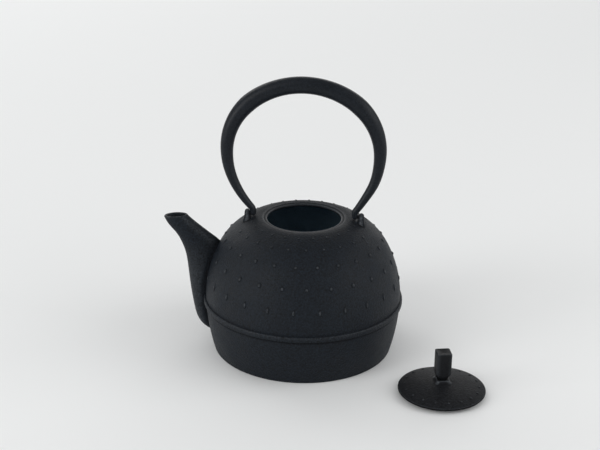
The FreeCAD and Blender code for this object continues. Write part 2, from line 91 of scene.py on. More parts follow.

# %% Skins, as points, faces and marks of wear and painted light
def every_mark(wear_and_painted_light, rows, columns):
    """Marks of wear and painted light at every point of a grid, given as one number, one for each row, or
    one for each point.
    """
    wear_and_painted_light = np.asarray(wear_and_painted_light, dtype=float)
    return np.broadcast_to(wear_and_painted_light[:, None] if wear_and_painted_light.ndim == 1 else wear_and_painted_light, (rows, columns))


def closed_skin(rings, first_pole, last_pole, wear_and_painted_light=0.0):
    """Rows of points closed by a fan at each end."""
    rows, columns = rings.shape[:2]
    points = np.vstack([rings.reshape(-1, 3), first_pole, last_pole])
    around = np.arange(columns)
    beside = (around + 1) % columns
    last = (rows - 1) * columns
    fans = [stacked(beside, around, rows * columns),
            stacked(around + last, beside + last, rows * columns + 1)]
    wear_and_painted_light = every_mark(wear_and_painted_light, rows, columns)
    marks = np.concatenate([wear_and_painted_light.ravel(), wear_and_painted_light[[0, -1]].mean(axis=1)])
    return points, outward(points, [grid_faces(rows, columns)] + fans), marks


def ring_skin(rings, wear_and_painted_light=0.0):
    """Rows of points that close on themselves both ways, as on a washer."""
    rows, columns = rings.shape[:2]
    points = rings.reshape(-1, 3)
    faces = outward(points, [grid_faces(rows, columns, ring=True)])
    return points, faces, every_mark(wear_and_painted_light, rows, columns).ravel()


# %% Put skins into Blender
def add_piece(name, skins, iron, body, node=None):
    """Puts skins into one smooth mesh with an attribute of wear and painted light, and lets it ride on a
    body.
    """
    starts = np.cumsum([0] + [len(points) for points, groups, marks in skins])
    faces = [face for start, (points, groups, marks) in zip(starts, skins)
             for group in groups for face in (group + start).tolist()]
    mesh = bpy.data.meshes.new(name)
    mesh.from_pydata(np.vstack([points for points, groups, marks in skins]).tolist(), [], faces)
    mesh.polygons.foreach_set("use_smooth", np.ones(len(mesh.polygons), dtype=bool))
    wear_and_painted_light = mesh.attributes.new("wear_and_painted_light", "FLOAT", "POINT")
    wear_and_painted_light.data.foreach_set("value", np.concatenate([marks for points, groups, marks in skins]))
    mesh.materials.append(iron)
    piece = bpy.data.objects.new(name, mesh)
    bpy.context.scene.collection.objects.link(piece)
    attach(piece, body)
    if node:
        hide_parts(node)
    print(name, len(mesh.vertices), "points,", len(mesh.polygons), "faces on", body)


# %% [markdown]
# ## Black iron from a sand mould
# Cast iron keeps the print of the sand: a fine, even grain, with broad patches that are a little
# smoother or greyer. Hands and the lid rub the raised places, which turn satin and a touch lighter. The
# same lighter colour is painted on as highlights, and a darker, duller colour is painted on as shade.
# All irons of this pot share that, so it is one node group, placed in each material with its own grain
# and tone. A mark on the mesh says where: above nought the colour turns lighter, for wear and for painted
# highlights, and below nought it is painted shade. It reads Object coordinates, so the grain has its real
# size everywhere.

# %% Sockets of the sand-cast group
sand_cast = bpy.data.node_groups.new("Sand cast surface", "ShaderNodeTree")
SOCKETS = {"INPUT": {"Iron Colour": "Color", "Worn And Highlight Colour": "Color", "Wear And Painted Light": "Float", "Grain Size": "Float",
                     "Grain Depth": "Float", "Grain Tone": "Float", "Iron Roughness": "Float",
                     "Worn Roughness": "Float"},
           "OUTPUT": {"Colour": "Color", "Roughness": "Float", "Normal": "Vector"}}
for way, kinds in SOCKETS.items():
    for label, kind in kinds.items():
        sand_cast.interface.new_socket(label, in_out=way, socket_type="NodeSocket" + kind)
print("group sockets", [socket.name for socket in sand_cast.interface.items_tree])


# %% Helpers for the group's nodes
def feed(socket, value):
    """Links a socket to an input, or sets the input to a plain value."""
    if isinstance(value, bpy.types.NodeSocket):
        sand_cast.links.new(value, socket)
    else:
        socket.default_value = value


def put(kind, **sockets):
    """Adds a node, and sets or links its inputs by name, or by number after an underscore."""
    node = sand_cast.nodes.new(kind)
    for name, value in sockets.items():
        feed(node.inputs[int(name[1:]) if name[1:].isdigit() else name], value)
    return node


def sums(operation, first, second, third=0.5):
    """One step of arithmetic on numbers or sockets."""
    node = put("ShaderNodeMath", _0=first, _1=second, _2=third)
    node.operation = operation
    return node.outputs[0]


def mixed(kind, share, first, second):
    """A blend of two numbers or two colours by a share."""
    node = put("ShaderNodeMix")
    node.data_type = kind
    inputs, output = {"FLOAT": ((0, 2, 3), 0), "RGBA": ((0, 6, 7), 2)}[kind]
    for number, value in zip(inputs, (share, first, second)):
        feed(node.inputs[number], value)
    return node.outputs[output]


# %% Grain, patches, wear and painted light in the group
PATCH_SIZE, RUB_AND_HIGHLIGHT_SIZE, RUB_AND_HIGHLIGHT_LEAST = 14 * MM, 3 * MM, 0.4
given, place = put("NodeGroupInput").outputs, put("ShaderNodeTexCoord").outputs["Object"]
grains = sums("DIVIDE", 1.0, given["Grain Size"])
fine = put("ShaderNodeTexNoise", Vector=place, Scale=grains, Detail=2.0, Roughness=0.6).outputs[0]
broad = put("ShaderNodeTexNoise", Vector=place, Scale=1 / PATCH_SIZE, Detail=3.0).outputs[0]
rub_and_highlight_noise = put("ShaderNodeTexNoise", Vector=place, Scale=1 / RUB_AND_HIGHLIGHT_SIZE, Detail=2.0).outputs[0]
# Above nought the mark mixes towards the lighter worn colour: wear, and painted highlights.
wear_and_highlight = sums("MULTIPLY", given["Wear And Painted Light"], sums("ADD", rub_and_highlight_noise, RUB_AND_HIGHLIGHT_LEAST))
wear_and_highlight = put("ShaderNodeClamp", Value=wear_and_highlight).outputs[0]
# Below nought the mark is painted shade: it darkens the colour and raises the roughness.
corner = put("ShaderNodeClamp", Value=sums("MULTIPLY", given["Wear And Painted Light"], -1.0)).outputs[0]
print("noise of patches", PATCH_SIZE / MM, "mm and of rubbing", RUB_AND_HIGHLIGHT_SIZE / MM, "mm")

# %% Colour, roughness and bump in the group
PAINTED_SHADE_DARK, CORNER_DULL, GRAIN_BASE = 0.8, 0.4, 0.7
PATCH_TONE, PATCH_DULL, PATCH_DEPTH, WORN_FLAT = 0.6, 0.24, 0.8, 0.6
grained = sums("MULTIPLY_ADD", sums("SUBTRACT", fine, 0.5), given["Grain Tone"], GRAIN_BASE)
shade = sums("MULTIPLY_ADD", broad, PATCH_TONE, grained)
shade = sums("MULTIPLY", shade, sums("MULTIPLY_ADD", corner, -PAINTED_SHADE_DARK, 1.0))
shaded = put("ShaderNodeVectorMath", _0=mixed("RGBA", wear_and_highlight, given["Iron Colour"], given["Worn And Highlight Colour"]))
shaded.operation = "SCALE"
feed(shaded.inputs["Scale"], shade)
rough = mixed("FLOAT", wear_and_highlight, given["Iron Roughness"], given["Worn Roughness"])
rough = sums("ADD", rough, sums("MULTIPLY_ADD", broad, PATCH_DULL, -PATCH_DULL / 2))
rough = sums("MULTIPLY_ADD", corner, CORNER_DULL, rough)
height = sums("MULTIPLY_ADD", broad, PATCH_DEPTH, fine)
height = sums("MULTIPLY", height, sums("MULTIPLY_ADD", wear_and_highlight, -WORN_FLAT, 1.0))
bump = put("ShaderNodeBump", Strength=1.0, Distance=given["Grain Depth"], Height=height)
put("NodeGroupOutput", Colour=shaded.outputs[0], Roughness=rough, Normal=bump.outputs[0])
print("sand-cast group", len(sand_cast.nodes), "nodes")

# %% [markdown]
# The pot and lid are left as cast and blacked. The bail is forged, so it is smoother. The knob is
# handled most, and its edges are worn, with painted highlights on them too. Iron under such a finish is
# a dark, dull, non-metallic surface: the gloss is weak, and comes only from the shader's own roughness and
# specular level. The level is the same all over an iron, so it is a plain number on the shader, and where
# shade is painted on, the roughness is raised as well.

# %% The four irons
BLUE_BLACK, FORGED_BLACK = (0.0058, 0.0086, 0.0128), (0.008, 0.0102, 0.0138)
# The worn grey is also the colour of the painted highlights.
BLACK, SOOT, WORN_AND_HIGHLIGHT_GREY = (0.0098, 0.0107, 0.0126), (0.0085, 0.0092, 0.0108), (0.046, 0.051, 0.057)


def make_iron(name, colour, grain, depth, tone, roughness, worn_roughness, gloss):
    """A Principled surface fed by the sand-cast group, with wear, painted highlights and painted shade from
    the piece's marks.
    """
    iron = bpy.data.materials.new(name)
    iron.use_nodes = True
    tree = iron.node_tree
    rubbing = tree.nodes.new("ShaderNodeAttribute")
    rubbing.attribute_name = "wear_and_painted_light"
    cast = tree.nodes.new("ShaderNodeGroup")
    cast.node_tree = sand_cast
    tree.links.new(rubbing.outputs["Fac"], cast.inputs["Wear And Painted Light"])
    for label, value in [("Iron Colour", (*colour, 1)), ("Worn And Highlight Colour", (*WORN_AND_HIGHLIGHT_GREY, 1)), ("Grain Size", grain),
                         ("Grain Depth", depth), ("Grain Tone", tone), ("Iron Roughness", roughness),
                         ("Worn Roughness", worn_roughness)]:
        cast.inputs[label].default_value = value
    surface = tree.nodes["Principled BSDF"]
    for source, target in [("Colour", "Base Color"), ("Roughness", "Roughness"), ("Normal", "Normal")]:
        tree.links.new(cast.outputs[source], surface.inputs[target])
    surface.inputs["Specular IOR Level"].default_value = gloss
    return iron


# Each row: colour, grain size, grain depth, grain tone, roughness, worn roughness, gloss
pot_iron = make_iron("Pot iron", BLUE_BLACK, 1.1 * MM, 0.55 * MM, 3.4, 0.53, 0.4, 0.167)
bail_iron = make_iron("Bail iron", FORGED_BLACK, 0.9 * MM, 0.18 * MM, 2.2, 0.36, 0.34, 0.135)
lid_iron = make_iron("Lid iron", BLACK, 1.1 * MM, 0.5 * MM, 3.4, 0.57, 0.4, 0.1)
knob_iron = make_iron("Knob iron", SOOT, 0.9 * MM, 0.14 * MM, 1.8, 0.48, 0.38, 0.11)
print("irons", [iron.name for iron in (pot_iron, bail_iron, lid_iron, knob_iron)])

# %% [markdown]
# ## The pot's outline
# A pattern maker turns the pot's wooden pattern from one outline: a rounded base, a bowl that swells to
# the waist, a rib, a dome of two arcs and a flat rim with a seat for the lid. The same arcs, moved in by
# the wall, make the inside. The dome's two radii aren't chosen: they follow from where the dome starts,
# where it ends and how far each arc turns, as two equations.

# %% Arcs of the dome
def arc(middle, radius, start, stop, count):
    """Points on a circle: the middle plus the radius times the cosine and sine of an even run of angles."""
    angle = np.radians(np.linspace(start, stop, count))
    return stacked(middle[0] + radius * np.cos(angle), middle[1] + radius * np.sin(angle))


def unit(degrees):
    """The direction at an angle."""
    return np.array([np.cos(np.radians(degrees)), np.sin(np.radians(degrees))])


RIB_RADIUS, RIB_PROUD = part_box("pot_body")[1][1], 1.6 * MM
RIB_BOTTOM, RIB_TOP = 36.1 * MM, 40.4 * MM
POT_RADIUS, POT_HEIGHT = RIB_RADIUS - RIB_PROUD, 102.8 * MM
WALL, MOUTH_RADIUS = 3.5 * MM, 27.4 * MM
SIDE_TURN, RIM_TURN, RIM_ROUND, RIM_WIDTH = 29.3, 74.0, 8.0 * MM, 8.0 * MM

dome_end = np.array([MOUTH_RADIUS + RIM_WIDTH, POT_HEIGHT - RIM_ROUND * (1 - unit(RIM_TURN)[1])])
turns = np.array([[1 - unit(SIDE_TURN)[0], unit(SIDE_TURN)[0] - unit(RIM_TURN)[0]],
                  [unit(SIDE_TURN)[1], unit(RIM_TURN)[1] - unit(SIDE_TURN)[1]]])
side_curve, shoulder_curve = np.linalg.solve(turns, [POT_RADIUS - dome_end[0], dome_end[1] - RIB_TOP])
side_middle = np.array([POT_RADIUS - side_curve, RIB_TOP])
shoulder_middle = side_middle + (side_curve - shoulder_curve) * unit(SIDE_TURN)
print("dome arcs", round(side_curve / MM, 2), "and", round(shoulder_curve / MM, 2), "mm")

# %% The bowl below the rib
BASE_INSET, BASE_ROUND, BOWL_CURVE, WAIST_INSET = 5.9 * MM, 1.1 * MM, 156.0 * MM, 0.1 * MM
BASE_RADIUS, WAIST_RADIUS = POT_RADIUS - BASE_INSET, POT_RADIUS - WAIST_INSET
bowl_start, bowl_end = np.array([BASE_RADIUS, BASE_ROUND]), np.array([WAIST_RADIUS, RIB_BOTTOM])
half = (bowl_end - bowl_start) / 2
to_middle = np.array([-half[1], half[0]]) * np.sqrt(BOWL_CURVE**2 / (half @ half) - 1)
bowl_middle = bowl_start + half + to_middle
base_turn = np.degrees(np.arcsin((BASE_ROUND - bowl_middle[1]) / (BOWL_CURVE - BASE_ROUND)))
waist_turn = np.degrees(np.arctan2(*(bowl_end - bowl_middle)[::-1]))
base_middle = bowl_middle + (BOWL_CURVE - BASE_ROUND) * unit(base_turn)
print("bowl arc from", round(base_turn, 1), "to", round(waist_turn, 1), "degrees")

# %% [markdown]
# ## The pot's shell
# One closed skin runs from the middle of the base, up the outside, over the rim, through the mouth and
# down the inside to the middle of the floor. The rib's edge, the seat's edge and the lip get a painted
# highlight, partly also wear where the lid rubs the mouth, and the corners at the rib, the dome near the
# rim, the rim and the seat's step get painted shade. A modifier could do the turning too, but here each
# row keeps its mark. A thin coat lines the inside, and its pale blue-grey is painted light.

# %% Helpers for turned pieces
def run(start, stop, count=4):
    """An even run of points from one place to another."""
    return np.linspace(start, stop, count)


def circle(count):
    """Even angles once round."""
    return np.linspace(0, 2 * np.pi, count, endpoint=False)


def turned(profile, columns, middle=(0.0, 0.0)):
    """Each (radius, height) of a profile carried round an upright axis: radius times cosine and sine."""
    angle, radius, level = circle(columns), profile[:, :1], profile[:, 1:]
    return stacked(middle[0] + radius * np.cos(angle), middle[1] + radius * np.sin(angle), level)


def joined(*runs):
    """Runs of points, each with its mark of wear and painted light, as one profile and one list of marks."""
    marks = [np.broadcast_to(wear_and_painted_light, len(points)) for points, wear_and_painted_light in runs]
    return np.vstack([points for points, wear_and_painted_light in runs]), np.concatenate(marks)


print("2 points turned in 8 columns:", turned(run((1, 0), (1, 1), 2), 8).shape)

# %% The outside, from the base to the rim
RIB_UNDERCUT, CORNER_REACH, RIM_REACH, FINE_TURN = 0.5 * MM, 2.5 * MM, 8 * MM, 1.5
fine_start = waist_turn - FINE_TURN
outside = np.vstack([arc(base_middle, BASE_ROUND, -90, base_turn, 10),
                     arc(bowl_middle, BOWL_CURVE, base_turn, fine_start, 24),
                     arc(bowl_middle, BOWL_CURVE, fine_start, waist_turn, 12)[1:]])
under_rib = np.clip(1 - (RIB_BOTTOM - outside[:, 1]) / CORNER_REACH, 0, 1)
outside[:, 0] -= RIB_UNDERCUT * under_rib**2
dome = np.vstack([arc(side_middle, side_curve, 0, FINE_TURN, 8)[:-1],
                  arc(side_middle, side_curve, FINE_TURN, SIDE_TURN, 34),
                  arc(shoulder_middle, shoulder_curve, SIDE_TURN, RIM_TURN, 36)[1:]])
over_rib = np.clip(1 - (dome[:, 1] - RIB_TOP) / CORNER_REACH, 0, 1)
near_rim = np.clip(1 - (dome_end[1] - dome[:, 1]) / RIM_REACH, 0, 1)
rim = arc(dome_end - RIM_ROUND * unit(RIM_TURN), RIM_ROUND, RIM_TURN, 90, 8)
print("outside rows", len(outside), "on the bowl,", len(dome), "on the dome,", len(rim), "on the rim")

# %% The inside, from the mouth to the floor
FLOOR_ROUND, FLOOR_LEVEL = 6.0 * MM, 4.0 * MM
mouth_turn = np.degrees(np.arccos((MOUTH_RADIUS - shoulder_middle[0]) / (shoulder_curve - WALL)))
inner_bowl = arc(bowl_middle, BOWL_CURVE - WALL, waist_turn, base_turn + 2.0, 16)
floor_middle = inner_bowl[-1] - FLOOR_ROUND * unit(base_turn)
inner_bowl[-1] += np.array([0.0, FLOOR_LEVEL + FLOOR_ROUND - floor_middle[1]])
floor_middle[1] = FLOOR_LEVEL + FLOOR_ROUND
inside = np.vstack([arc(shoulder_middle, shoulder_curve - WALL, mouth_turn - 0.4, SIDE_TURN, 26),
                    arc(side_middle, side_curve - WALL, SIDE_TURN, 0, 24)[1:], inner_bowl,
                    arc(floor_middle, FLOOR_ROUND, base_turn, -90, 8),
                    run((0.9 * floor_middle[0], FLOOR_LEVEL), (0.2 * floor_middle[0], FLOOR_LEVEL), 5)])
print("inside", len(inside), "rows, widest", round(inside[:, 0].max() / MM, 1), "mm from the axis")

# %% The whole profile, with its wear and painted light
RIB_ROUND, LIP_ROUND, NUDGE = 1.2 * MM, 0.6 * MM, 0.1 * MM
SEAT_RADIUS, SEAT_DROP = MOUTH_RADIUS + 2.6 * MM, 0.45 * MM
rib_edge = RIB_RADIUS - RIB_ROUND
lip_middle = np.array([MOUTH_RADIUS + LIP_ROUND, POT_HEIGHT - SEAT_DROP - LIP_ROUND])
# Painted highlight on the rib's upper edge, and painted shade on its top.
rib_top_highlight_and_shade = 0.25 - 0.5 * np.linspace(-0.5, 1, 9)**2
first_row = (np.arange(len(dome)) == 0)[:, None]
pot_profile, pot_wear_and_painted_light = joined(
    (run((0.3 * base_middle[0], 0), (base_middle[0] - 0.4 * MM, 0), 5), 0),
    # Painted shade under the rib and on its lower face.
    (outside, -under_rib),
    (run((WAIST_RADIUS + NUDGE, RIB_BOTTOM), (rib_edge - NUDGE, RIB_BOTTOM), 3), -0.8),
    (arc((rib_edge, RIB_BOTTOM + RIB_ROUND), RIB_ROUND, -90, 0, 7), np.linspace(-0.7, 0.05, 7)),
    (arc((rib_edge, RIB_TOP - RIB_ROUND), RIB_ROUND, 0, 90, 9), rib_top_highlight_and_shade),
    (run((rib_edge - NUDGE, RIB_TOP), (POT_RADIUS + 0.15 * MM, RIB_TOP), 2), -0.35),
    # Painted shade on the dome just above the rib and growing towards the rim, and on the rim.
    (dome + [0, NUDGE] * first_row, -0.25 * over_rib - 0.25 * near_rim),
    (rim, -0.3),
    # Painted highlights on the seat's edge and the lip, partly wear where the lid rubs, and painted shade in
    # the step.
    (run((SEAT_RADIUS + 2.0 * MM, POT_HEIGHT), (SEAT_RADIUS + 0.5 * MM, POT_HEIGHT), 4),
     [-0.3, -0.2, -0.1, 0.2]),
    (run((SEAT_RADIUS + 0.2 * MM, POT_HEIGHT - 0.02 * MM), (SEAT_RADIUS, POT_HEIGHT - NUDGE), 2), 0.4),
    (run((SEAT_RADIUS - 0.2 * MM, POT_HEIGHT - 0.8 * SEAT_DROP),
         (MOUTH_RADIUS + 1.0 * MM, POT_HEIGHT - SEAT_DROP), 4), [-0.6, -0.5, -0.4, 0]),
    (arc(lip_middle, LIP_ROUND, 90, 180, 7), 0.45),
    (inside, 0))
print("pot profile", len(pot_profile), "rows, polish", pot_wear_and_painted_light.min(), "to", pot_wear_and_painted_light.max())

# %% Turn the shell, with painted shade beside the ears
POT_COLUMNS, EAR_LEVEL, EAR_PAINTED_SHADE = 224, 90 * MM, 0.7
EAR_INNER, EAR_THICKNESS = MOUTH_RADIUS + 13.1 * MM, 3.6 * MM
LOBE_LENGTH, LOBE_WIDTH, EAR_CORNER = 6.0 * MM, 1.4 * MM, 2.5 * MM
EAR_OUTER = EAR_INNER + EAR_THICKNESS
pot_rings = turned(pot_profile, POT_COLUMNS)
sideways, forwards, upright = np.moveaxis(np.abs(pot_rings), -1, 0)
beside_ear = np.maximum(EAR_INNER - 2 * LOBE_WIDTH - sideways, sideways - EAR_OUTER)
from_ear = np.hypot(np.maximum(beside_ear, 0), np.maximum(forwards - LOBE_LENGTH, 0))
ear_corner = np.clip(1 - from_ear / EAR_CORNER, 0, 1)**1.5
# Painted shade on the dome round the ears' feet.
pot_wear_and_painted_light = pot_wear_and_painted_light[:, None] - EAR_PAINTED_SHADE * ear_corner * (upright > EAR_LEVEL)
add_piece("pot_shell", [closed_skin(pot_rings, (0, 0, 0), (0, 0, FLOOR_LEVEL), pot_wear_and_painted_light)],
          pot_iron, "pot", "pot_body")

# %% The pale lining inside, painted light
# The lining's pale blue-grey is painted light in the dark inside.
COAT, LINING_PAINTED_LIGHT, LINING_COLUMNS = 0.15 * MM, (0.15, 0.22, 0.28), 96
lining_iron = make_iron("Pot lining", LINING_PAINTED_LIGHT, 1.0 * MM, 0.03 * MM, 0.8, 0.4, 0.4, 0.3)
along_wall = np.gradient(inside, axis=0)
into_pot = stacked(along_wall[:, 1], -along_wall[:, 0]) / np.hypot(*along_wall.T)[:, None]
coat = np.vstack([(inside - COAT * into_pot)[:0:-1], (inside + COAT * into_pot)[1:]])
coat_poles = [(0, 0, FLOOR_LEVEL - COAT), (0, 0, FLOOR_LEVEL + COAT)]
add_piece("pot_lining", [closed_skin(turned(coat, LINING_COLUMNS), *coat_poles)],
          lining_iron, "pot")

# %% [markdown]
# ## The spout
# The spout is cast in one with the pot. It is flat at the sides, straight along its top and hooked like
# a beak at its tip, so its sections are eggs between an upper and a lower ridge, and a smooth curve
# carries them from a heel inside the bowl to the lip. What would lie deep in the pot is held just under
# its surface, inside the wall, so no boolean is needed, and a small hollow rounds the corner.

# %% A smooth curve through sections
def smooth_through(knots, values, at):
    """Natural cubic spline: second slopes that keep the slope even at each knot, then the usual cubic."""
    step = np.diff(knots)
    slopes = np.diff(values, axis=0) / step[:, None]
    system = np.eye(len(knots))
    inner = np.arange(1, len(knots) - 1)
    system[inner, inner - 1], system[inner, inner + 1] = step[:-1], step[1:]
    system[inner, inner] = 2 * (step[:-1] + step[1:])
    bends = np.zeros_like(values)
    bends[inner] = 6 * np.diff(slopes, axis=0)
    bends = np.linalg.solve(system, bends)
    cell = np.clip(np.searchsorted(knots, at) - 1, 0, len(step) - 1)
    width = step[cell][..., None]
    after = (at - knots[cell])[..., None] / width
    before = 1 - after
    curve = bends[cell] * (before**3 - before) + bends[cell + 1] * (after**3 - after)
    return before * values[cell] + after * values[cell + 1] + curve * width**2 / 6


SPOUT_SECTIONS = MM * np.array([      # out and up of the upper ridge, of the lower ridge, half width
    [50.0, 5.0, 60.0, 4.5, 4.5],      # heel, inside the bowl
    [58.0, 16.0, 76.6, 12.7, 7.0],    # root
    [62.0, 33.5, 83.2, 28.5, 8.6],    # keel, at the rib
    [61.0, 56.0, 86.2, 49.0, 8.8],    # belly
    [59.5, 70.0, 87.4, 60.5, 8.4],    # neck
    [62.0, 79.7, 89.0, 71.0, 7.8],    # elbow
    [70.0, 86.6, 92.0, 79.6, 7.0],    # throat
    [78.3, 92.9, 96.6, 87.4, 6.4],    # beak
    [83.6, 97.2, 102.1, 93.9, 5.9],   # nose
    [86.9, 100.1, 104.8, 98.8, 5.6]])  # tip
spout_line = (SPOUT_SECTIONS[:, :2] + SPOUT_SECTIONS[:, 2:4]) / 2
spout_knots = np.concatenate([[0], np.cumsum(np.hypot(*np.diff(spout_line, axis=0).T))])
spout_knots /= spout_knots[-1]
print("spout knots", np.round(spout_knots, 3).tolist())

# %% Points on the spout
SPOUT_BLUNT, BLUNT_FADE = 0.4, 0.3


def spout_at(along, angle):
    """A point on the spout and the way outwards there: an egg between the two ridges, blunt below.

    Its width is the sine of the angle, less a share of sine times cosine that fades towards the tip."""
    sizes = np.moveaxis(smooth_through(spout_knots, SPOUT_SECTIONS, along), -1, 0)
    upper_out, upper_up, lower_out, lower_up, half_width = sizes
    across, up = (upper_out - lower_out) / 2, (upper_up - lower_up) / 2
    half_height = np.hypot(across, up)
    blunt = SPOUT_BLUNT * np.clip((1 - along) / BLUNT_FADE, 0, 1)
    wide = half_width * np.sin(angle) * (1 - blunt * np.cos(angle))
    points = stacked(-((upper_out + lower_out) / 2 + across * np.cos(angle)), wide,
                     (upper_up + lower_up) / 2 + up * np.cos(angle))
    along_ridges = half_width * (np.cos(angle) - blunt * np.cos(2 * angle)) / half_height
    outwards = stacked(-across * along_ridges, half_height * np.sin(angle), up * along_ridges)
    return points, outwards / np.linalg.norm(outwards, axis=-1, keepdims=True)


heel = spout_at(np.zeros(1), np.zeros(1))[0]
print("heel at", np.round(heel / MM, 1).tolist(), "mm")

# %% Where the spout leaves the pot
plain_side = np.vstack([outside, dome, rim])
SPOUT_SINK, SPOUT_HOLLOW = 1.6 * MM, 0.4 * MM


def above_pot(points):
    """How far points lie outside the pot's side, level with it."""
    side = np.interp(points[..., 2], plain_side[:, 1], plain_side[:, 0])
    return np.hypot(points[..., 0], points[..., 1]) - side


def held_out(points):
    """Moves points that lie deeper in the pot than the sink out from its axis, to just that depth."""
    short = np.maximum(-SPOUT_SINK - above_pot(points), 0)
    share = 1 + short / np.hypot(points[..., 0], points[..., 1])
    return points * stacked(share, share, 1)


print("the heel lies", np.round(-above_pot(heel) / MM, 1).tolist(), "mm deep, held at", SPOUT_SINK / MM)

# %% The spout's flank, lip and bore
SPOUT_ROWS, SPOUT_COLUMNS, BORE_START, BORE_END = 130, 96, 0.985, 0.62
LIP_WALL, SPOUT_WALL, WALL_GROWTH = 2.0 * MM, 2.6 * MM, 0.15
spout_angle = circle(SPOUT_COLUMNS)
flank_along = np.linspace(0, 1, SPOUT_ROWS)[:, None]
flank, outwards = spout_at(flank_along + 0 * spout_angle, spout_angle)
clear_of_pot = above_pot(flank)
gap = np.clip(clear_of_pot / SPOUT_HOLLOW, 0, 1)[..., None]
flank = held_out(flank + outwards * SPOUT_HOLLOW * (1 - np.sqrt(1 - (1 - gap)**2)))
tip, tip_outwards = flank[-1], outwards[-1]
tip_up = np.cross(tip_outwards[0], [0, 1, 0])
tip_up = tip_up * np.sign(tip_up[2])
lip_turn = np.radians(np.linspace(18, 180, 10))[:, None, None]
lip = tip - tip_outwards * LIP_WALL / 2 * (1 - np.cos(lip_turn)) + tip_up * LIP_WALL / 2 * np.sin(lip_turn)
bore_along = np.linspace(BORE_START, BORE_END, 20)[:, None]
bore, bore_outwards = spout_at(bore_along + 0 * spout_angle, spout_angle)
bore_wall = LIP_WALL + (SPOUT_WALL - LIP_WALL) * np.clip((1 - bore_along) / WALL_GROWTH, 0, 1)
bore = bore - bore_outwards * bore_wall[..., None]
spout_rings = np.concatenate([flank, lip, bore])
print("spout rows", len(flank), "outside,", len(lip), "over the lip,", len(bore), "down the bore")

# %% Painted shade and highlights of the spout
CREASE_REACH, CREASE_SHADE, FLANK_PAINTED_LIGHT, BEAK_HIGHLIGHT = 4.5 * MM, 0.75, 0.34, 0.4
BEAK_FROM, BEAK_FADE, EDGE_ANGLE, EDGE_WIDTH, BORE_FADE = 0.8, 0.25, 0.8, 0.28, 0.2
# Painted shade along the crease where the spout meets the pot.
crease_painted_shade = -CREASE_SHADE * np.clip(1 - clear_of_pot / CREASE_REACH, 0, 1)**1.5
from_ridge = np.abs((spout_angle + np.pi) % (2 * np.pi) - np.pi)
low_flank = np.clip((BEAK_FROM - flank_along) / BEAK_FADE, 0, 1)
beak_edge = np.exp(-((from_ridge - EDGE_ANGLE) / EDGE_WIDTH)**2)
# Painted light along the lower flank and a painted highlight along the beak's edge.
ridge_highlight = FLANK_PAINTED_LIGHT * low_flank + BEAK_HIGHLIGHT * (1 - low_flank) * beak_edge
ridge_highlight = ridge_highlight * np.clip(clear_of_pot / CREASE_REACH - 0.4, 0, 1)
towards_nose = np.clip(-np.cos(spout_angle), 0, 1)
# Painted highlight on the lip, growing towards the nose.
lip_highlight = np.tile(0.15 + 0.35 * towards_nose, (len(lip), 1))
# Painted light down the bore from the lip.
bore_painted_light = (0.3 + 0.4 * towards_nose) * np.clip(1 - (1 - bore_along) / BORE_FADE, 0, 1)
spout_painted_light = np.concatenate([crease_painted_shade + ridge_highlight, lip_highlight, bore_painted_light])
spout_poles = [flank[0].mean(axis=0), bore[-1].mean(axis=0)]
add_piece("pot_spout", [closed_skin(spout_rings, *spout_poles, spout_painted_light)], pot_iron, "pot")

# %% [markdown]
# ## Bumps and ears
# Small raised shapes sit all over the dome, and each is the same thing: a closed bump on an oval foot
# that is sunk a little and leans with the dome's slope. Each ear is a lug cast on the shoulder and
# drilled across for the bail's hook, with a low lobe beside it towards the mouth. The lug is a washer
# about the pivot, whose outer edge is pulled down to a spread foot inside the dome, without a boolean.

# %% Bumps that sit on the dome
UP, SLOPE_STEP = np.array([0, 0, 1.0]), 0.5 * MM
BUMP_RINGS, BUMP_RISE = np.array([1.32, 1.2, 0.95, 0.7, 0.4]), np.array([-0.15, 0.05, 0.16, 0.54, 0.87])
# Marks from the apron to the top: painted shade round the foot, painted highlight on top.
BUMP_HIGHLIGHT_AND_SHADE, BUMP_SINK, BUMP_COLUMNS = (-0.2, -0.4, -0.5, 0.2, 0.6), 0.5, 10


def spokes(bearing):
    """Level directions at some bearings: cosine, sine and nought."""
    return stacked(np.cos(bearing), np.sin(bearing), 0)


def on_dome(level, bearing):
    """Foot points on the dome at a height, with the ways round it, up its slope and away from it there."""
    radius = np.interp(level, plain_side[:, 1], plain_side[:, 0])
    step = np.interp(level + SLOPE_STEP, plain_side[:, 1], plain_side[:, 0]) - radius
    slope = np.array([step, SLOPE_STEP]) / np.hypot(step, SLOPE_STEP)
    out = spokes(bearing)
    north, upwards = out * slope[0] + UP * slope[1], out * slope[1] - UP * slope[0]
    return radius * out + level * UP, np.cross(UP, out), north, upwards


def bumps(foot, east, north, upwards, half_width, half_length, height, marks=BUMP_HIGHLIGHT_AND_SHADE):
    """Closed bumps: oval rings, each with its share of the foot and of the height, and a thin apron; the
    marks paint shade round the foot and a highlight on top.
    """
    poles = np.stack([foot - BUMP_SINK * height * upwards, foot + height * upwards], axis=1)
    turn = circle(BUMP_COLUMNS)[:, None]
    base, across, along, away = (item[:, None, None, :] for item in (foot, east, north, upwards))
    oval = half_width * np.cos(turn) * across + half_length * np.sin(turn) * along
    points = base + BUMP_RINGS[:, None, None] * oval + height * BUMP_RISE[:, None, None] * away
    every = np.concatenate([points.reshape(len(foot), -1, 3), poles], axis=1)
    one, marks = closed_skin(points[0], *poles[0], marks)[1:]
    starts = (np.arange(len(foot)) * every.shape[1])[:, None, None]
    faces = [(group[None] + starts).reshape(-1, group.shape[1]) for group in one]
    return every.reshape(-1, 3), faces, np.tile(marks, len(foot))


print("a bump has", len(BUMP_RINGS) * BUMP_COLUMNS + 2, "points")

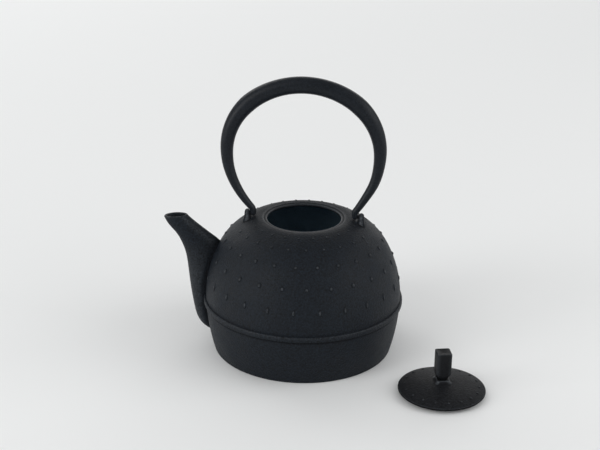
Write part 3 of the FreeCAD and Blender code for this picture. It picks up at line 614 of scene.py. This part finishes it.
# %% The outline of a lug
PIVOT_HEIGHT = joints["bail_swing"]["pos_m"][2]
EAR_HOLE, EAR_CROWN, EAR_DROP, EAR_FOOT = 1.7 * MM, 2.9 * MM, 7.6 * MM, 4.2 * MM


def lug_reach(turn):
    """Distance from the pivot to the lug's outline: a round crown, then straight sides down to the foot."""
    foot_turn = np.arctan2(EAR_FOOT, -EAR_DROP)
    side_turn = foot_turn - np.arccos(EAR_CROWN / np.hypot(EAR_FOOT, EAR_DROP))
    side = EAR_CROWN / np.cos(np.clip(np.abs(turn) - side_turn, 0, foot_turn - side_turn))
    return np.where(np.abs(turn) > foot_turn, np.minimum(side, -EAR_DROP / np.cos(turn)), side)


def dome_height(x, y):
    """Height of the pot's outside over a place near its rim."""
    return np.interp(np.hypot(x, y), plain_side[::-1, 0], plain_side[::-1, 1])


lug_turn = np.linspace(-np.pi, np.pi, 60, endpoint=False)
reach = lug_reach(lug_turn)
print("lug reaches", round(reach.min() / MM, 2), "to", round(reach.max() / MM, 2), "mm from the pivot")

# %% A washer about the pivot, with a round crown
RIDGE_DEPTH, HOLE_EDGE, BORE_ROWS = 1.8 * MM, 0.3 * MM, 5
crown_turn = np.linspace(0, np.pi, 17)
crown_across = EAR_INNER + EAR_THICKNESS / 2 * (1 + np.cos(crown_turn))
crown_below = RIDGE_DEPTH * (1 - np.sin(crown_turn))
bored = np.linspace(EAR_INNER + HOLE_EDGE, EAR_OUTER - HOLE_EDGE, BORE_ROWS)
lug_across = np.concatenate([bored, [EAR_OUTER, EAR_OUTER], crown_across, [EAR_INNER, EAR_INNER]])
lug_share = np.concatenate([np.zeros(BORE_ROWS), [0.15, 0.6], np.ones(len(crown_turn)), [0.6, 0.15]])
lug_below = np.concatenate([np.zeros(BORE_ROWS + 2), crown_below, np.zeros(2)])
flat_reach = np.maximum(reach - RIDGE_DEPTH, EAR_HOLE + HOLE_EDGE)
lug_radius = np.where(lug_share[:, None] < 1, EAR_HOLE + lug_share[:, None] * (flat_reach - EAR_HOLE),
                      np.maximum(reach - lug_below[:, None], flat_reach))
lug_up = PIVOT_HEIGHT + lug_radius * np.cos(lug_turn)
lug_out = lug_radius * np.sin(lug_turn)
lug_x = lug_across[:, None] + 0 * lug_up
print("lug", lug_x.shape[0], "rows of", lug_x.shape[1], "points")

# %% Spread feet and low lobes
EAR_FLARE, FLARE_RISE, LUG_SINK, LUG_SPREAD, LUG_TAPER = 1.2 * MM, 2.5 * MM, 2.0 * MM, 1.2, 0.3
EAR_MIDDLE, LUG_FOOT, LUG_TOP = (EAR_INNER + EAR_OUTER) / 2, POT_HEIGHT - 3.8 * MM, PIVOT_HEIGHT + EAR_CROWN
LOBE_RADIUS, LOBE_TOP = MOUTH_RADIUS + 11.1 * MM, POT_HEIGHT - 0.65 * MM
lug_risen = np.clip((lug_up - LUG_FOOT) / (LUG_TOP - LUG_FOOT), 0, 1)
lug_x = EAR_MIDDLE + (lug_x - EAR_MIDDLE) * (LUG_SPREAD - LUG_TAPER * lug_risen**2)
spread = EAR_FLARE * np.clip(1 - (lug_up - dome_height(lug_x, lug_out)) / FLARE_RISE, 0, 1)**2
from_middle = stacked(lug_x - EAR_MIDDLE, lug_out)
from_middle /= np.maximum(np.linalg.norm(from_middle, axis=-1, keepdims=True), NUDGE)
lug_x, lug_out = lug_x + spread * from_middle[..., 0], lug_out + spread * from_middle[..., 1]
lug_up = np.maximum(lug_up, dome_height(lug_x, lug_out) - LUG_SINK)
# Painted highlight streak down the crown, and painted shade at its sides and on the flat faces.
crown_highlight_and_shade = 1.5 * np.sin(crown_turn)**4 - 0.4
lug_painted_light = np.concatenate([np.full(BORE_ROWS + 2, -0.4), crown_highlight_and_shade, np.full(2, -0.4)])
ears = [ring_skin(stacked(side * lug_x, lug_out, lug_up), lug_painted_light) for side in (-1, 1)]
lobe_level = dome_height(LOBE_RADIUS, 0)
lobe_feet = on_dome(lobe_level, np.array([0.0, np.pi]))
ears.append(bumps(*lobe_feet, LOBE_LENGTH, LOBE_WIDTH, LOBE_TOP - lobe_level))
add_piece("pot_ears", ears, pot_iron, "pot")
print("lobes", round((LOBE_TOP - lobe_level) / MM, 2), "mm high")

# %% [markdown]
# ## Rows of dots
# The dome is set with five rings of small raised dots, pressed into the mould one by one, staggered from
# row to row: pin heads near the mouth, round dots on the shoulder and long drops above the rib. They are
# the best-known decoration of such pots. Each is a small bump that follows the dome's slope.

# %% Dots on the dome
DOTS_AROUND, DOT_TURN, KEPT_CLEAR = 24, np.radians(1.0), 8.0 * MM
SPOUT_TOP, EARS_FROM = 85 * MM, 95 * MM
DOT_ROWS = [                 # name, height, stagger, half width, half length, rise
    ("pin heads", 101.3 * MM, 0.0, 0.9 * MM, 0.9 * MM, 0.5 * MM),
    ("small dots", 96.3 * MM, 0.5, 1.1 * MM, 1.1 * MM, 0.6 * MM),
    ("round dots", 87.1 * MM, 0.0, 1.35 * MM, 1.4 * MM, 0.85 * MM),
    ("long dots", 73.5 * MM, 0.5, 1.35 * MM, 1.7 * MM, 0.95 * MM),
    ("drops", 57.7 * MM, 0.0, 1.1 * MM, 2.4 * MM, 0.85 * MM)]
pitch = 2 * np.pi / DOTS_AROUND
dot_skins = []
for label, level, stagger, half_width, half_length, rise in DOT_ROWS:
    bearing = (np.arange(DOTS_AROUND) + stagger) * pitch - DOT_TURN
    foot = on_dome(level, bearing)[0]
    clear = (np.abs(foot[:, 1]) > KEPT_CLEAR) | ((foot[:, 0] > 0) & (level < EARS_FROM))
    clear |= (level > SPOUT_TOP) & (level < EARS_FROM)
    dot_skins.append(bumps(*on_dome(level, bearing[clear]), half_width, half_length, rise))
    print(label, clear.sum(), "dots at height", round(level / MM, 1), "mm")
add_piece("pot_dots", dot_skins, pot_iron, "pot")

# %% [markdown]
# ## The bail
# The bail is forged from one round bar: thick where the hand holds it, drawn out thin along the arms and
# blunt at each end, with a hook bent sharply outwards through an ear. Its middle line is a chain of arcs,
# and a circle whose radius changes along the line is carried over it; the hooks are two short bars of
# their own, sunk in the ends. A real bail is bent by eye, so the hoop leans and one arm is pinched in.

# %% The bail's middle line
EAR_GAP, SHANK, NECK_RISE, NECK_CURVE, BLUNT_END = 0.4 * MM, 2.15 * MM, 1.5 * MM, 4.5 * MM, 2.3 * MM
BAIL_HALF_WIDTH, SHOULDER_IN, CROWN_FLAT, BAIL_GRIP = 55.85 * MM, 7.35 * MM, 13.5 * MM, 6.15 * MM
CROWN_ROWS, SIDE_ROWS = 40, 44
bail_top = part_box("bail_handle")[1][2] - BAIL_GRIP
shank_x = EAR_INNER - EAR_GAP - SHANK
hoop_curve = BAIL_HALF_WIDTH - SHOULDER_IN + CROWN_FLAT
hoop_turn = np.degrees(np.arccos(SHOULDER_IN / CROWN_FLAT))
shoulder = np.array([SHOULDER_IN, bail_top - hoop_curve + CROWN_FLAT * unit(hoop_turn)[1]])
neck = np.array([shank_x + NECK_CURVE, PIVOT_HEIGHT + NECK_RISE])
away = neck - [BAIL_HALF_WIDTH, shoulder[1]]
flank_curve = (away @ away - NECK_CURVE**2) / (2 * (NECK_CURVE - away[0]))
flank_middle = np.array([BAIL_HALF_WIDTH - flank_curve, shoulder[1]])
neck_turn = np.degrees(np.arctan2(*(neck - flank_middle)[::-1]))
blunt_down = BLUNT_END * np.sin(np.linspace(0, np.pi / 2, 14))[1:, None]
half_line = np.vstack([arc((0, bail_top - hoop_curve), hoop_curve, 90, hoop_turn, CROWN_ROWS),
                       arc(shoulder, hoop_curve - CROWN_FLAT, hoop_turn, 0, SIDE_ROWS)[1:],
                       arc(flank_middle, flank_curve, 0, neck_turn, SIDE_ROWS)[1:],
                       arc(neck, NECK_CURVE, 180 + neck_turn, 180, 8)[1:],
                       run((shank_x, PIVOT_HEIGHT + NECK_RISE), (shank_x, PIVOT_HEIGHT), 5)[1:],
                       [shank_x, PIVOT_HEIGHT] - blunt_down * [0, 1]])
arcs_mm = np.round(np.array([hoop_curve, flank_curve]) / MM, 1).tolist()
print("bail arcs", arcs_mm, "mm, neck at", round(neck_turn, 1))

# %% The bar's thickness, lean and pinch
BAIL_ARM, GRIP_LENGTH, SWELL_PLACE, SWELL = 2.5 * MM, 15 * MM, 45 * MM, 0.25 * MM
LEAN, LEAN_RISE, PINCH, PINCH_PLACE, PINCH_REACH = 1.3 * MM, 40 * MM, 1.6 * MM, 11 * MM, 12 * MM
half_length = np.concatenate([[0], np.cumsum(np.hypot(*np.diff(half_line, axis=0).T))])
neck_length, end_length = half_length[CROWN_ROWS + 2 * (SIDE_ROWS - 1) - 1], half_length[-1]
taper = np.interp(half_length, [0, GRIP_LENGTH, SWELL_PLACE, neck_length, end_length - BLUNT_END],
                  [BAIL_GRIP, BAIL_GRIP, BAIL_GRIP + SWELL, BAIL_ARM, SHANK])
to_end = np.clip((end_length - half_length) / BLUNT_END, 0.01, 1)
taper = taper * np.sqrt(1 - (1 - to_end)**2)
bail_line = np.vstack([half_line[:0:-1] * [-1, 1], half_line])
bail_radius = np.concatenate([taper[:0:-1], taper])[:, None]
above_neck = bail_line[:, 1] - neck[1]
risen = np.clip(above_neck / LEAN_RISE, 0, 1)
pinched = (bail_line[:, 0] > 0) * np.exp(-((above_neck - PINCH_PLACE) / PINCH_REACH)**2)
bail_line = bail_line - stacked(LEAN * risen**2 * (3 - 2 * risen) + PINCH * pinched, 0)
print("half the bail is", round(end_length / MM, 1), "mm long")

# %% Carry the bar along the line, and set the hooks
BAIL_COLUMNS, HOOK, HOOK_SHORT, HOOK_ROWS = 40, 1.4 * MM, 0.2 * MM, 8
ARM_LEVEL, ARM_FADE, HIGHLIGHT_SIDE, HIGHLIGHT_WIDTH = 150 * MM, 40 * MM, 1.32 * np.pi, 0.3
ahead = np.gradient(bail_line, axis=0)
ahead /= np.hypot(*ahead.T)[:, None]
turn = circle(BAIL_COLUMNS)
bail_rings = stacked(bail_line[:, :1] - ahead[:, 1:] * bail_radius * np.cos(turn),
                     bail_radius * np.sin(turn),
                     bail_line[:, 1:] + ahead[:, :1] * bail_radius * np.cos(turn))
bail_ends = [np.array([end[0], 0, end[1]]) for end in bail_line[[0, -1]]]
low_arm = np.clip((ARM_LEVEL - bail_line[:, 1:]) / ARM_FADE, 0, 1)
# Slight wear all over, and a painted highlight streak along one side of the lower arms.
bail_wear_and_highlight = 0.04 + 0.3 * low_arm * np.exp(-((turn - HIGHLIGHT_SIDE) / HIGHLIGHT_WIDTH)**2)
bail_skins = [closed_skin(bail_rings, *bail_ends, bail_wear_and_highlight)]
hook_run = np.concatenate([[0], np.linspace(0, 1, HOOK_ROWS), [1]])
hook_radius = HOOK * np.concatenate([[0.6], np.ones(HOOK_ROWS), [0.6]])[:, None]
hook_y, hook_z = hook_radius * np.cos(turn), PIVOT_HEIGHT + hook_radius * np.sin(turn)
for side in (-1, 1):
    hook_x = side * (shank_x + hook_run * (EAR_OUTER - HOOK_SHORT - shank_x))[:, None]
    hook_rings = stacked(hook_x, hook_y, hook_z)
    hook_ends = [(end, 0, PIVOT_HEIGHT) for end in hook_x[[0, -1], 0]]
    # The hooks get painted shade.
    bail_skins.append(closed_skin(hook_rings, *hook_ends, -0.3))
add_piece("bail_bar", bail_skins, bail_iron, "bail", "bail_handle")

# %% [markdown]
# ## The lid
# The lid lies on the table beside the pot: a shallow cap with a thin rim, a ring of dots near the edge,
# and a skirt underneath that keeps it in the mouth. It is turned like the pot, as one washer round the
# hole for the knob's stem, so its underside is finished too and shows when the lid is lifted.

# %% Turn the lid
LID_PLACE = joints["knob_turn"]["pos_m"][:2]
lid_low, lid_high = np.array(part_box("lid_plate"))
LID_RADIUS = (lid_high[0] - lid_low[0]) / 2 - 0.02 * MM
LID_CURVE, LID_WALL, RIM_UNDER, RIM_OVER = 85.0 * MM, 2.6 * MM, 2.6 * MM, 4.2 * MM
SKIRT_OUTER, SKIRT_INNER, SKIRT_ROUND = MOUTH_RADIUS - 0.5 * MM, MOUTH_RADIUS - 2.7 * MM, 0.4 * MM
LID_EDGE, LAND, LAND_SLOPE, STEM_HOLE, LID_COLUMNS = 0.55 * MM, 6.0 * MM, 0.6 * MM, 2.1 * MM, 144
lid_middle = (0.0, RIM_OVER - np.sqrt(LID_CURVE**2 - LID_RADIUS**2))
seat_level = lid_high[2]


def cap(curve, start, stop, count):
    """Points on the cap's circle, between two distances from the axis: their angles are arc cosines."""
    angles = np.degrees(np.arccos(np.array([start, stop]) / curve))
    return arc(lid_middle, curve, *angles, count)


# Painted shade round the stem, a painted highlight on the rim's top edge and painted shade down its side and
# under it, and slight wear on the skirt.
lid_profile, lid_wear_and_painted_light = joined(
    (run((STEM_HOLE, seat_level), (LAND, seat_level), 3), -0.3),
    (cap(LID_CURVE, LAND + LAND_SLOPE, LID_RADIUS - LID_EDGE, 34), 0),
    (arc((LID_RADIUS - LID_EDGE, RIM_OVER - LID_EDGE), LID_EDGE, 75, 0, 6),
     [0.6, 0.6, 0.3, -0.2, -0.5, -0.6]),
    (arc((LID_RADIUS - LID_EDGE, RIM_UNDER + LID_EDGE), LID_EDGE, 0, -90, 5), -0.3),
    (run((LID_RADIUS - 2 * LID_EDGE, RIM_UNDER), (SKIRT_OUTER + 0.2 * MM, RIM_UNDER), 3), 0.1),
    (run((SKIRT_OUTER, RIM_UNDER - 0.2 * MM), (SKIRT_OUTER, 0.5 * MM), 3), 0.1),
    (arc((SKIRT_OUTER - SKIRT_ROUND, SKIRT_ROUND), SKIRT_ROUND, 0, -90, 5), 0.2),
    (arc((SKIRT_INNER + SKIRT_ROUND, SKIRT_ROUND), SKIRT_ROUND, -90, -180, 5), 0.2),
    (cap(LID_CURVE - LID_WALL, SKIRT_INNER, LAND, 16), 0),
    (run((LAND - LAND_SLOPE, seat_level - LID_WALL), (STEM_HOLE, seat_level - LID_WALL), 3), 0))
lid_skin = ring_skin(turned(lid_profile, LID_COLUMNS, LID_PLACE), lid_wear_and_painted_light)
add_piece("lid_cap", [lid_skin], lid_iron, "lid", "lid_plate")

# %% Dots on the lid
LID_DOTS, LID_DOT_RING, LID_DOT, LID_DOT_RISE = 18, 26.5 * MM, 1.0 * MM, 0.8 * MM
# Painted shade round the foot of each lid dot, and a painted highlight on its top.
LID_DOT_HIGHLIGHT_AND_SHADE = (0, -0.1, -0.3, 0.4, 0.9)
out = spokes(np.arange(LID_DOTS) * 2 * np.pi / LID_DOTS)
lean = np.arcsin(LID_DOT_RING / LID_CURVE)
foot = np.array([*LID_PLACE, lid_middle[1] + LID_CURVE * np.cos(lean)]) + LID_DOT_RING * out
north, upwards = UP * np.sin(lean) - out * np.cos(lean), out * np.sin(lean) + UP * np.cos(lean)
lid_dots = bumps(foot, np.cross(UP, out), north, upwards, LID_DOT, LID_DOT, LID_DOT_RISE, LID_DOT_HIGHLIGHT_AND_SHADE)
add_piece("lid_dots", [lid_dots], lid_iron, "lid")

# %% [markdown]
# ## The knob and its seat
# The knob is a square block with rounded edges, a dished top and a round foot. Its stem goes through a
# small flared square washer and the lid, and is upset underneath, so the knob can turn. A section of the
# block is a superellipse, nearly square, and near the foot a soft minimum with a round cone rounds it off.

# %% The seat
KNOB_TURN, KNOB_COLUMNS, SQUARENESS = np.radians(11.4), 96, 12.0
SEAT_TOP, SEAT_FOOT, SEAT_EDGE, SEAT_SQUARENESS, SEAT_ROWS = 4.5 * MM, 6.1 * MM, 0.3 * MM, 9.0, 12
seat_low, seat_high = np.array(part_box("knob_seat"))


def square_reach(turn, half_width, squareness=SQUARENESS):
    """Distance to a superellipse: half width over the root of the summed powers of cosine and sine."""
    powers = np.abs(np.cos(turn))**squareness + np.abs(np.sin(turn))**squareness
    return half_width / powers**(1 / squareness)


def on_lid(radius, level, turn):
    """Places distance and height round the lid's axis, turned with the knob."""
    x = LID_PLACE[0] + radius * np.cos(turn + KNOB_TURN)
    y = LID_PLACE[1] + radius * np.sin(turn + KNOB_TURN)
    return stacked(x, y, level)


turn = circle(KNOB_COLUMNS)
rise = np.linspace(0, 1, SEAT_ROWS)[:, None]
flare = square_reach(turn, SEAT_TOP + (SEAT_FOOT - SEAT_TOP) * (1 - rise)**2, SEAT_SQUARENESS)
seat_up = seat_low[2] + (seat_high[2] - seat_low[2] - SEAT_EDGE) * rise
edge = np.radians(np.linspace(15, 90, 5))[:, None]
seat_edge = square_reach(turn, SEAT_TOP - SEAT_EDGE * (1 - np.cos(edge)), SEAT_SQUARENESS)
edge_up = seat_high[2] - SEAT_EDGE * (1 - np.sin(edge))
hole = np.full((2, KNOB_COLUMNS), STEM_HOLE)
seat_radius = np.vstack([flare, seat_edge, hole])
seat_height = np.vstack([seat_up, edge_up, [[seat_high[2]], [seat_low[2]]]])
# Painted highlights on the washer's arrises and top edge, and painted shade at its foot and in the hole.
seat_arris_highlight = 1.1 * np.abs(np.sin(2 * turn))**8
flare_highlight_and_shade = np.linspace(-0.3, 0.3, SEAT_ROWS)[:, None] + seat_arris_highlight
edge_highlight_and_shade = np.array([1.0, 1.0, 1.0, 1.0, 0.2, -0.3, -0.3])[:, None] + 0 * turn
seat_skin = ring_skin(on_lid(seat_radius, seat_height, turn), np.vstack([flare_highlight_and_shade, edge_highlight_and_shade]))
add_piece("knob_washer", [seat_skin], knob_iron, "lid", "knob_seat")

# %% The knob's stem and sides
KNOB_HALF, KNOB_NECK, KNOB_FOOT, FOOT_SLOPE = 5.3 * MM, 3.8 * MM, 2.0 * MM, 0.95
STEM_RADIUS, HEAD_RADIUS, HEAD_HEIGHT = 2.0 * MM, 3.6 * MM, 1.4 * MM
KNOB_GAP, BLOCK_RISE, TOP_ROUND, SIDE_SOFTNESS = 0.2 * MM, 0.9 * MM, 0.7 * MM, 0.25 * MM
knob_low, knob_high = np.array(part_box("lid_knob"))
knob_base = seat_high[2] + KNOB_GAP
block_base = knob_base + BLOCK_RISE


def soft_minimum(first, second, softness):
    """The smaller of two lengths, with the corner between them rounded: a log of summed exponentials."""
    return -softness * np.log(np.exp(-first / softness) + np.exp(-second / softness))


head_top = knob_low[2] + HEAD_HEIGHT
stem = np.array([[STEM_RADIUS * 0.9, knob_low[2]], [STEM_RADIUS, knob_low[2]],
                 [HEAD_RADIUS, head_top - NUDGE], [HEAD_RADIUS - NUDGE, head_top],
                 [STEM_RADIUS, head_top], [STEM_RADIUS, knob_base],
                 [KNOB_NECK - NUDGE, knob_base], [KNOB_NECK, knob_base + NUDGE]])
side_top = knob_high[2] - block_base - TOP_ROUND
side_up = np.concatenate([np.linspace(0, 7 * MM, 22), np.linspace(7.6 * MM, side_top, 10)])[:, None]
foot_round = KNOB_NECK + (KNOB_HALF - KNOB_NECK) * np.sqrt(np.clip(side_up / KNOB_FOOT, 0, 1))
cone = np.where(side_up < KNOB_FOOT, foot_round, KNOB_HALF + (side_up - KNOB_FOOT) * FOOT_SLOPE)
knob_side = soft_minimum(square_reach(turn, KNOB_HALF), cone + 0 * turn, SIDE_SOFTNESS)
print("knob sides", round(side_top / MM, 1), "mm tall, stem", len(stem), "rows")

# %% The knob's dished top
TOP_DISH = 0.6 * MM
edge = np.radians(np.linspace(12, 90, 8))[:, None]
top_edge = square_reach(turn, KNOB_HALF - TOP_ROUND * (1 - np.cos(edge)))
top_up = knob_high[2] - TOP_ROUND * (1 - np.sin(edge))
dish = np.array([0.92, 0.78, 0.6, 0.4, 0.2])[:, None]
dish_reach = dish * square_reach(turn, KNOB_HALF - TOP_ROUND, 2 + (SQUARENESS - 2) * dish**2)
dish_up = knob_high[2] - TOP_DISH * (1 - dish**2)**1.5
knob_radius = np.vstack([stem[:, :1] + 0 * turn, knob_side, top_edge, dish_reach])
knob_up = np.vstack([stem[:, 1:], block_base + side_up, top_up, dish_up])
# Painted shade round the foot, on the stem and in the dish. Painted highlights on the arrises, and on the
# top edge, which is also worn by handling.
foot_painted_shade = -0.7 * np.clip(1 - side_up / KNOB_FOOT, 0, 1)
knob_arris_highlight = 0.4 * np.abs(np.sin(2 * turn))**10 * np.clip(side_up / KNOB_FOOT - 1, 0, 1)
top_wear_and_highlight = np.tile(0.25 + 0.3 * np.abs(np.sin(2 * turn))**6, (len(edge), 1))
dish_painted_shade = np.linspace(0, -0.3, len(dish))[:, None] + 0 * turn
stem_painted_shade = np.full((len(stem), KNOB_COLUMNS), -0.5)
knob_wear_and_painted_light = np.vstack([stem_painted_shade, foot_painted_shade + knob_arris_highlight, top_wear_and_highlight, dish_painted_shade])
knob_poles = [(*LID_PLACE, knob_low[2]), (*LID_PLACE, knob_high[2] - TOP_DISH)]
add_piece("knob_block", [closed_skin(on_lid(knob_radius, knob_up, turn), *knob_poles, knob_wear_and_painted_light)],
          knob_iron, "knob", "lid_knob")

# %% [markdown]
# ## Floor, light and camera
# The pot is shown like a shop's piece: a white sheet under it, big soft lamps to the left, the right and
# behind, and a long lens from a little above. The lamps are kept at the level where the pale floor comes
# out nearly white, so the black iron shows its true tone and is drawn by the soft lamps' reflections.

# %% The floor
FLOOR_HALF = 8.0
floor_mesh = bpy.data.meshes.new("floor")
floor_corners = FLOOR_HALF * np.array([[-1, -1, 0], [1, -1, 0], [1, 1, 0], [-1, 1, 0]])
floor_mesh.from_pydata(floor_corners.tolist(), [], [(0, 1, 2, 3)])
paper = bpy.data.materials.new("White paper")
paper.use_nodes = True
sheet = paper.node_tree.nodes["Principled BSDF"].inputs
sheet["Base Color"].default_value = (0.86, 0.87, 0.87, 1)
sheet["Roughness"].default_value, sheet["Specular IOR Level"].default_value = 0.9, 0.2
floor_mesh.materials.append(paper)
floor = bpy.data.objects.new("floor", floor_mesh)
bpy.context.scene.collection.objects.link(floor)
print("floor", 2 * FLOOR_HALF, "m across")

# %% The lamps and the room
POT_CENTRE, ROOM_LIGHT = np.array([0, 0, 60 * MM]), 0.46
LAMPS = [               # name, place, width, height, watts
    ("left low lamp", (-1.5, -0.9, 0.45), 0.8, 0.8, 11.2),
    ("left high lamp", (-1.2, -1.2, 1.3), 1.0, 1.0, 6.9),
    ("left back lamp", (-1.2, 1.2, 1.2), 1.0, 1.0, 6.4),
    ("right lamp", (1.6, 0.0, 0.9), 1.2, 1.2, 9.8),
    ("right low lamp", (1.5, -0.9, 0.45), 0.8, 0.8, 4.6),
    ("back lamp", (0, 2.6, 1.0), 3.0, 1.5, 18)]


def stand(name, data, side, up, back, at):
    """An object for a lamp or camera, whose three axes and place are the columns of its matrix."""
    holder = bpy.data.objects.new(name, data)
    holder.matrix_world = Matrix(np.vstack([stacked(side, up, back, at), [0, 0, 0, 1]]).tolist())
    bpy.context.scene.collection.objects.link(holder)
    return holder


for name, at, width, tall, watts in LAMPS:
    lamp = bpy.data.lights.new(name, "AREA")
    lamp.shape, lamp.size, lamp.size_y, lamp.energy = "RECTANGLE", width, tall, watts
    back = np.array(at, dtype=float) - POT_CENTRE
    back /= np.linalg.norm(back)
    side = np.cross(UP, back)
    side /= np.linalg.norm(side)
    stand(name, lamp, side, np.cross(back, side), back, at)
room = bpy.data.worlds.new("Studio room")
room.use_nodes = True
sky = room.node_tree.nodes["Background"].inputs
sky["Color"].default_value, sky["Strength"].default_value = (1, 1, 1, 1), ROOM_LIGHT
bpy.context.scene.world = room
bpy.context.scene.view_settings.view_transform = "Standard"

# %% The camera
PHOTO_WIDTH, FOCAL_PIXELS, SENSOR = 600, 1307.93, 36.0
CAMERA_AWAY, CAMERA_UP = 0.9, 459.72 * MM
PITCH, YAW, ROLL, PART_TURN = np.radians([21.99, -0.19, -0.75, 4.3])


def part_way(way):
    """A direction or place, turned about the upright axis from the camera's heading to the part's frame."""
    x, y, z = way
    cosine, sine = np.cos(PART_TURN), np.sin(PART_TURN)
    return np.array([x * cosine - y * sine, x * sine + y * cosine, z])


ahead = np.array([np.sin(YAW) * np.cos(PITCH), np.cos(YAW) * np.cos(PITCH), -np.sin(PITCH)])
right = np.array([np.cos(YAW), -np.sin(YAW), 0])
down = np.cross(ahead, right)
right, down = right * np.cos(ROLL) + down * np.sin(ROLL), down * np.cos(ROLL) - right * np.sin(ROLL)
lens = bpy.data.cameras.new("camera")
lens.sensor_fit, lens.sensor_width, lens.lens = "HORIZONTAL", SENSOR, SENSOR * FOCAL_PIXELS / PHOTO_WIDTH
lens.clip_start, lens.clip_end = 0.05, 50.0
eye = (0, -CAMERA_AWAY, CAMERA_UP)
camera = stand("camera", lens, *(part_way(way) for way in (right, -down, -ahead, eye)))
bpy.context.scene.camera = camera
print("camera at", np.round(part_way(eye), 3).tolist(), "lens", round(lens.lens, 2), "mm")
